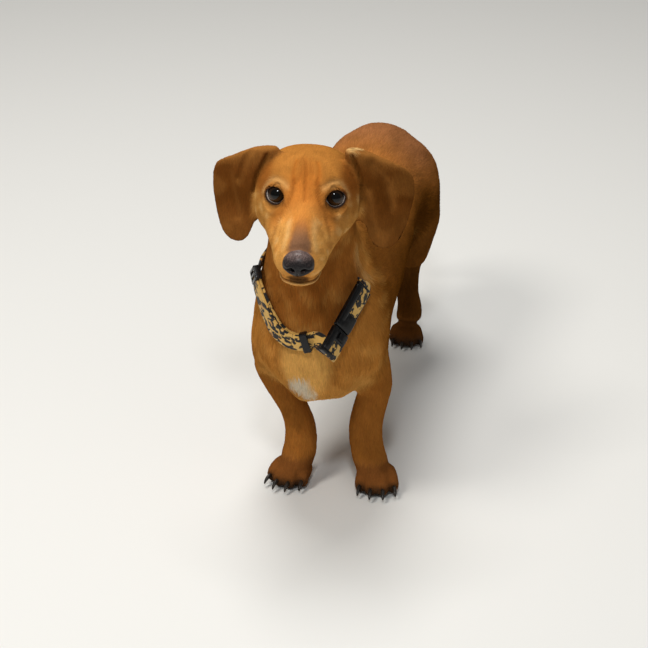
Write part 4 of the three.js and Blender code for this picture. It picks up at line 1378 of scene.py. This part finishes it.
def on_loop(flat):
    """Flat points wrapped round the neck."""
    angle = np.interp(flat[:, 1], loop_arc, loop_angles)

    def at(values):
        return np.stack([np.interp(angle, degrees, values[:, k], period=360) for k in range(3)], 1)

    out, up = unit(at(loop_out)), unit(at(loop_up))
    return at(loop_line) + out * flat[:, 2:] + up * flat[:, :1]


def flat_box(low, high, bevel, cuts, segments=3, form=None):
    """A block with rounded edges, in the collar's flat frame."""
    deselect()
    bpy.ops.mesh.primitive_cube_add(size=1)
    box = bpy.context.active_object
    low, high = np.array(low, float), np.array(high, float)
    corners = coordinates(box.data) * (high - low) + (low + high) / 2
    place(box.data, corners)
    bm = bmesh.new()
    bm.from_mesh(box.data)
    lengthwise = [e for e in bm.edges if abs(e.verts[0].co.y - e.verts[1].co.y) > 1e-6]
    bmesh.ops.subdivide_edges(bm, edges=lengthwise, cuts=cuts, use_grid_fill=True)
    bm.to_mesh(box.data)
    bm.free()
    if form:
        place(box.data, form(coordinates(box.data)))
    apply_modifier(box, "BEVEL", width=bevel, segments=segments, limit_method="ANGLE", angle_limit=0.6)
    return box


def bent(piece, way=on_loop):
    """Wraps a flat piece round the neck; its flat places are kept for the print and the grain."""
    flat = coordinates(piece.data)
    set_vector(piece.data, "flat", flat)
    place(piece.data, from_dog(way(flat)))
    return piece


def dress(piece, slot_name, finish, *nodes):
    activate(piece)
    bpy.ops.object.shade_smooth_by_angle(angle=math.radians(35))
    piece.data.materials.append(finish)
    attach(piece, "root")
    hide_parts(*nodes)


RIB_PITCH, PICK_PITCH = 0.9, 0.7


def webbing_material():
    """Woven yellow-tan webbing with a spotted print."""
    made, tree, shader = new_material("spotted_webbing", Roughness=0.72, Sheen_Weight=0.1)
    flat = attribute(tree, "flat")
    warp = node(tree, "TexNoise", {"Vector": flat, "Scale": 0.16, "Detail": 2.0}).outputs[1]
    wires = {0: warp, 1: (5.0, 5.0, 0.0), 2: flat}
    warped = node(tree, "VectorMath", wires, operation="MULTIPLY_ADD").outputs[0]
    level = node(tree, "VectorMath", {0: warped, 1: (1.0, 0.5, 0.0)}, operation="MULTIPLY").outputs[0]
    cells = node(tree, "TexVoronoi", {"Vector": level, "Scale": 0.19, "Randomness": 0.9}).outputs[0]
    broken = noise(tree, level, 0.3, 1.0)
    inner = spread(tree, cells, 0.12, 0.16)
    outer = spread(tree, cells, 0.55, 0.59, 1.0, 0.0)
    rings = maths(tree, "MULTIPLY", inner, outer)
    arcs = maths(tree, "MULTIPLY", rings, spread(tree, broken, 0.43, 0.46))
    dots = spread(tree, cells, 0.12, 0.17, 1.0, 0.0)
    some_dots = maths(tree, "MULTIPLY", dots, spread(tree, broken, 0.55, 0.6))
    black = maths(tree, "MAXIMUM", arcs, some_dots)
    middle = spread(tree, cells, 0.22, 0.36, 1.0, 0.0)
    ground = mixed(tree, middle, (0.66, 0.38, 0.08, 1), (0.48, 0.2, 0.03, 1))
    worn = noise(tree, flat, 0.9, 4.0)
    ground = mixed(tree, spread(tree, worn, 0.35, 0.75, 0.0, 0.4), ground, (0.8, 0.55, 0.22, 1))
    printed = mixed(tree, black, ground, (0.008, 0.007, 0.006, 1))
    part = node(tree, "SeparateXYZ", {0: flat}).outputs
    ribs = maths(tree, "SINE", maths(tree, "MULTIPLY", part[0], 2 * math.pi / RIB_PITCH))
    picks = maths(tree, "SINE", maths(tree, "MULTIPLY", part[1], 2 * math.pi / PICK_PITCH))
    weave = maths(tree, "ADD", maths(tree, "MULTIPLY", ribs, picks), maths(tree, "MULTIPLY", ribs, 0.6))
    shade = spread(tree, weave, -1.5, 1.5, 0.8, 1.1)
    finish_with(tree, shader, scaled(tree, printed, shade), weave, 0.6, 0.00015)
    return made


def plastic_material():
    """Black moulded plastic, glossy, with a fine grain and scuffs."""
    made, tree, shader = new_material(
        "black_plastic", Specular_IOR_Level=0.1, Coat_Weight=0.4, Coat_Roughness=0.12
    )
    flat = attribute(tree, "flat")
    grain = noise(tree, flat, 4.0, 3.0)
    scuff = noise(tree, stretched(tree, flat, (1.0, 0.3, 1.0)), 0.8, 5.0, 0.7)
    colour = blend(tree, scuff, 0.5, 0.75, (0.004, 0.004, 0.0045, 1), (0.013, 0.013, 0.014, 1))
    tree.links.new(spread(tree, scuff, 0.3, 0.8, 0.22, 0.5), shader.inputs["Roughness"])
    finish_with(tree, shader, colour, grain, 0.12, 0.0001)
    return made


def thread_material():
    made, tree, shader = new_material("black_thread", Roughness=0.6)
    twist = noise(tree, stretched(tree, attribute(tree, "flat"), (6.0, 6.0, 6.0)), 1.0, 2.0)
    finish_with(tree, shader, mixed(tree, twist, (0.012, 0.011, 0.01, 1), (0.05, 0.045, 0.04, 1)))
    return made


webbing, plastic, thread = webbing_material(), plastic_material(), thread_material()
HALF = STRAP_WIDE / 2
STRAP_EDGE = 0.5
BODY_LOW, BODY_HIGH = -6.5, 12.0
RAIL_LOW = 5.0
SOCKET_FROM, SPLIT, CLIP_TO = 25, 35, 49
SLIDER_AT, KEEPER_AT = -80, -1


def lifted(start, end, high):
    """Lets a strip of webbing rise over a bar between two places along the collar."""

    def form(points):
        share = np.clip((points[:, 1] - start) / (end - start), 0, 1)
        points[:, 2] += high * np.sin(share * math.pi) ** 0.8
        return points

    return form


def lowered(share):
    """Lowers the top of a block by a share that depends on how far out a point lies."""

    def form(points):
        side, end = [np.abs(v - (v.min() + v.max()) / 2) / (np.ptp(v) / 2) for v in points.T[:2]]
        base = points[:, 2].min()
        points[:, 2] = base + (points[:, 2] - base) * share(side, end)
        return points

    return form


# A crowned block is rounded across and thinned to both ends; a ridged one has a rounded ridge.
crowned = lowered(lambda side, end: 1 - 0.18 * side**2 - 0.12 * end**4)
ridged = lowered(lambda side, end: (1 - 0.25 * side**1.5) * (1 - 0.3 * end**6))


def aslant(points):
    """Lets the loose end hang a little lower than the strap under it."""
    share = (points[:, 1] - points[:, 1].min()) / np.ptp(points[:, 1])
    points[:, 0] -= 1.6 * np.sin(share * math.pi) ** 1.2
    return points


def tucked(points):
    """Narrows the strap where it runs under the fold of the neck."""
    x, y, _ = points.T
    share = 0.0
    for whole_turn in (0, 360):
        start, end = arc(70 + whole_turn), arc(140 + whole_turn)
        share += smooth_step(start - 4, start + 4, y) * smooth_step(end, end - 12, y)
    points[:, 0] = x * (1 - 0.5 * share) - 3.5 * share
    return points


def strap_over(low_side, start, end, rise_from, rise_to):
    """The webbing's turn over one end of the buckle."""
    low, high = (low_side, arc(start), 2.1), (RAIL_LOW, arc(end), 3.9)
    turn_over = flat_box(low, high, STRAP_EDGE, 24, 2, lifted(arc(rise_from), arc(rise_to), 3))
    return bent(turn_over, on_bar)


over_low = strap_over(-HALF, 15, 27, 13, 31)
over_high = strap_over(-HALF + 2.5, 48, BAR_TO, 44, 73)
low, high = (-HALF, arc(STRAP_FROM), 0), (HALF, arc(STRAP_TO), STRAP_THICK)
whole_strap = joined([bent(flat_box(low, high, STRAP_EDGE, 220, 2, tucked)), over_low, over_high], "strap")
dress(whole_strap, "webbing", webbing, "collar_strap")
low, high = (-HALF, arc(-82), LAYER), (HALF, arc(1), LAYER + STRAP_THICK)
loose_end = flat_box(low, high, STRAP_EDGE, 60, 2, aslant)
loose_end.name = loose_end.data.name = "strap_end"
dress(bent(loose_end), "webbing", webbing, "collar_strap_end")

top = LAYER + STRAP_THICK


def side_bars(angle, out, half_wide, half_long, high, bevel, cuts):
    """The two sides of a slider or a keeper, each this far out from the strap's middle."""
    bars = []
    for side in (-1, 1):
        low = (side * out - half_wide, arc(angle) - half_long, -0.3)
        bars.append(flat_box(low, (side * out + half_wide, arc(angle) + half_long, high), bevel, cuts))
    return bars


def cross_bar(at, half_wide, half_long, low, high, cuts):
    return flat_box((-half_wide, at - half_long, low), (half_wide, at + half_long, high), 0.7, cuts)


bars = side_bars(SLIDER_AT, 8.6, 1.2, 6, top + 1.6, 0.7, 4)
bars += [cross_bar(arc(SLIDER_AT) + shift, 8.6, 1.1, top, top + 1.7, 2) for shift in (-4.9, 0, 4.9)]
dress(bent(joined(bars, "slider"), stiff_at(SLIDER_AT)), "buckle_plastic", plastic, "collar_slider")

bars = side_bars(KEEPER_AT, 8.1, 0.9, 3.4, top + 1.4, 0.8, 3)
bars.append(cross_bar(arc(KEEPER_AT), 8.2, 3.4, top + 0.1, top + 1.6, 3))
dress(bent(joined(bars, "keeper"), stiff_at(KEEPER_AT)), "buckle_plastic", plastic, "collar_keeper")

# The buckle's halves: a body, a rail along its side, a narrow edge, the bar that holds the strap,
# and on the socket the press button.
SOCKET_END, CLIP_END = arc(SPLIT) - 0.2, arc(SPLIT) + 0.2
BAR_START_AT, BAR_END_AT = arc(BAR_FROM), arc(BAR_TO)
EDGE_LOW, EDGE_HIGH = BODY_LOW - 0.6, BODY_LOW + 1.2
socket = [
    flat_box((BODY_LOW, arc(SOCKET_FROM), LAYER), (BODY_HIGH, SOCKET_END, 8.8), 1.6, 10, 4, crowned),
    flat_box((RAIL_LOW, BAR_START_AT - 2, LAYER), (BODY_HIGH, SOCKET_END, 9.6), 2.4, 16, 5, ridged),
    flat_box((EDGE_LOW, BAR_START_AT, LAYER), (EDGE_HIGH, arc(27), 4.6), 0.8, 10),
    flat_box((BODY_LOW + 4, BAR_START_AT - 3, 1.4), (BODY_HIGH - 0.4, BAR_START_AT + 0.6, 7.6), 1.2, 2),
    flat_box((BODY_LOW + 2.5, arc(27), 7.9), (RAIL_LOW - 0.6, arc(33), 9.3), 0.6, 6),
]
dress(bent(joined(socket, "socket"), on_bar), "buckle_plastic", plastic, "buckle_socket")
clip = [
    flat_box((BODY_LOW + 0.3, CLIP_END, LAYER), (BODY_HIGH, arc(CLIP_TO), 8.4), 1.5, 8, 4, crowned),
    flat_box((RAIL_LOW, CLIP_END, LAYER), (BODY_HIGH, BAR_END_AT - 1, 9.2), 2.4, 24, 5, ridged),
    flat_box((EDGE_LOW, arc(CLIP_TO - 2), LAYER), (EDGE_HIGH, BAR_END_AT, 4.6), 0.8, 10),
    flat_box((BODY_LOW + 2, BAR_END_AT - 1, 1.4), (BODY_HIGH - 1, BAR_END_AT + 1.5, 5.4), 0.9, 2),
]
dress(bent(joined(clip, "clip"), on_bar), "buckle_plastic", plastic, "buckle_clip")

STITCH_PITCH, STITCH_LONG, STITCH_WIDE = 1.6, 1.1, 0.4
STITCH_ROWS = ((8.5, STRAP_THICK), (82, STRAP_THICK), (-69, top), (-14, top))
stitches = []
for angle, high in STITCH_ROWS:
    for x in np.arange(-6.4, 6.5, STITCH_PITCH):
        low = (x - STITCH_LONG / 2, arc(angle) - STITCH_WIDE / 2, high - 0.12)
        end = (x + STITCH_LONG / 2, arc(angle) + STITCH_WIDE / 2, high + 0.22)
        stitches.append(flat_box(low, end, 0.12, 0, 1))
dress(bent(joined(stitches, "stitches")), "webbing", thread)

# Camera, lights and floor
LIT_SPOT = (-10, 60, 150)
stage_center = Vector(from_dog((-10, 160, 0)))
bpy.ops.mesh.primitive_plane_add(size=14, location=(stage_center.x, stage_center.y, 0))
floor = bpy.context.active_object
floor.name = "floor"
floor.data.materials.append(new_material("floor_paint", Base_Color=(0.78, 0.78, 0.76, 1), Roughness=0.9)[0])

side, down = math.radians(CAMERA_TURN), math.radians(CAMERA_PITCH)
look = (-math.sin(side) * math.cos(down), math.cos(side) * math.cos(down), -math.sin(down))
camera_data = bpy.data.cameras.new("camera")
camera_data.lens = CAMERA_LENS
camera_data.sensor_width = 36
camera = bpy.data.objects.new("camera", camera_data)
camera.location = from_dog(CAMERA_AT)
camera.rotation_euler = Vector(look).to_track_quat("-Z", "Y").to_euler()
bpy.context.scene.collection.objects.link(camera)
bpy.context.scene.camera = camera


def lamp(name, at, size, watts, colour, seen=True):
    """A round lamp turned to the dog; only a seen one shows in the eyes and the nose."""
    data = bpy.data.lights.new(name, "AREA")
    data.shape = "DISK"
    data.size = size
    data.energy = watts
    data.color = colour
    o = bpy.data.objects.new(name, data)
    o.location = from_dog(at)
    way = Vector(from_dog(LIT_SPOT)) - Vector(o.location)
    o.rotation_euler = way.to_track_quat("-Z", "Y").to_euler()
    o.visible_glossy = seen
    bpy.context.scene.collection.objects.link(o)


lamp("key_lamp", (-1000, -1000, 2000), 0.7, 22, (1.0, 0.96, 0.9), False)
lamp("window_lamp", (250, -1500, 1900), 0.3, 13, (0.95, 0.98, 1.0))
lamp("fill_lamp", (1500, -900, 900), 1.6, 2, (1.0, 0.97, 0.93), False)
lamp("top_lamp", (-300, 500, 2200), 1.0, 30, (1.0, 0.98, 0.95))

world = bpy.data.worlds.new("studio")
world.use_nodes = True
sky = world.node_tree.nodes["Background"].inputs
sky["Color"].default_value = (1.0, 0.98, 0.95, 1)
sky["Strength"].default_value = 0.15
bpy.context.scene.world = world
bpy.context.scene.view_settings.view_transform = "Standard"
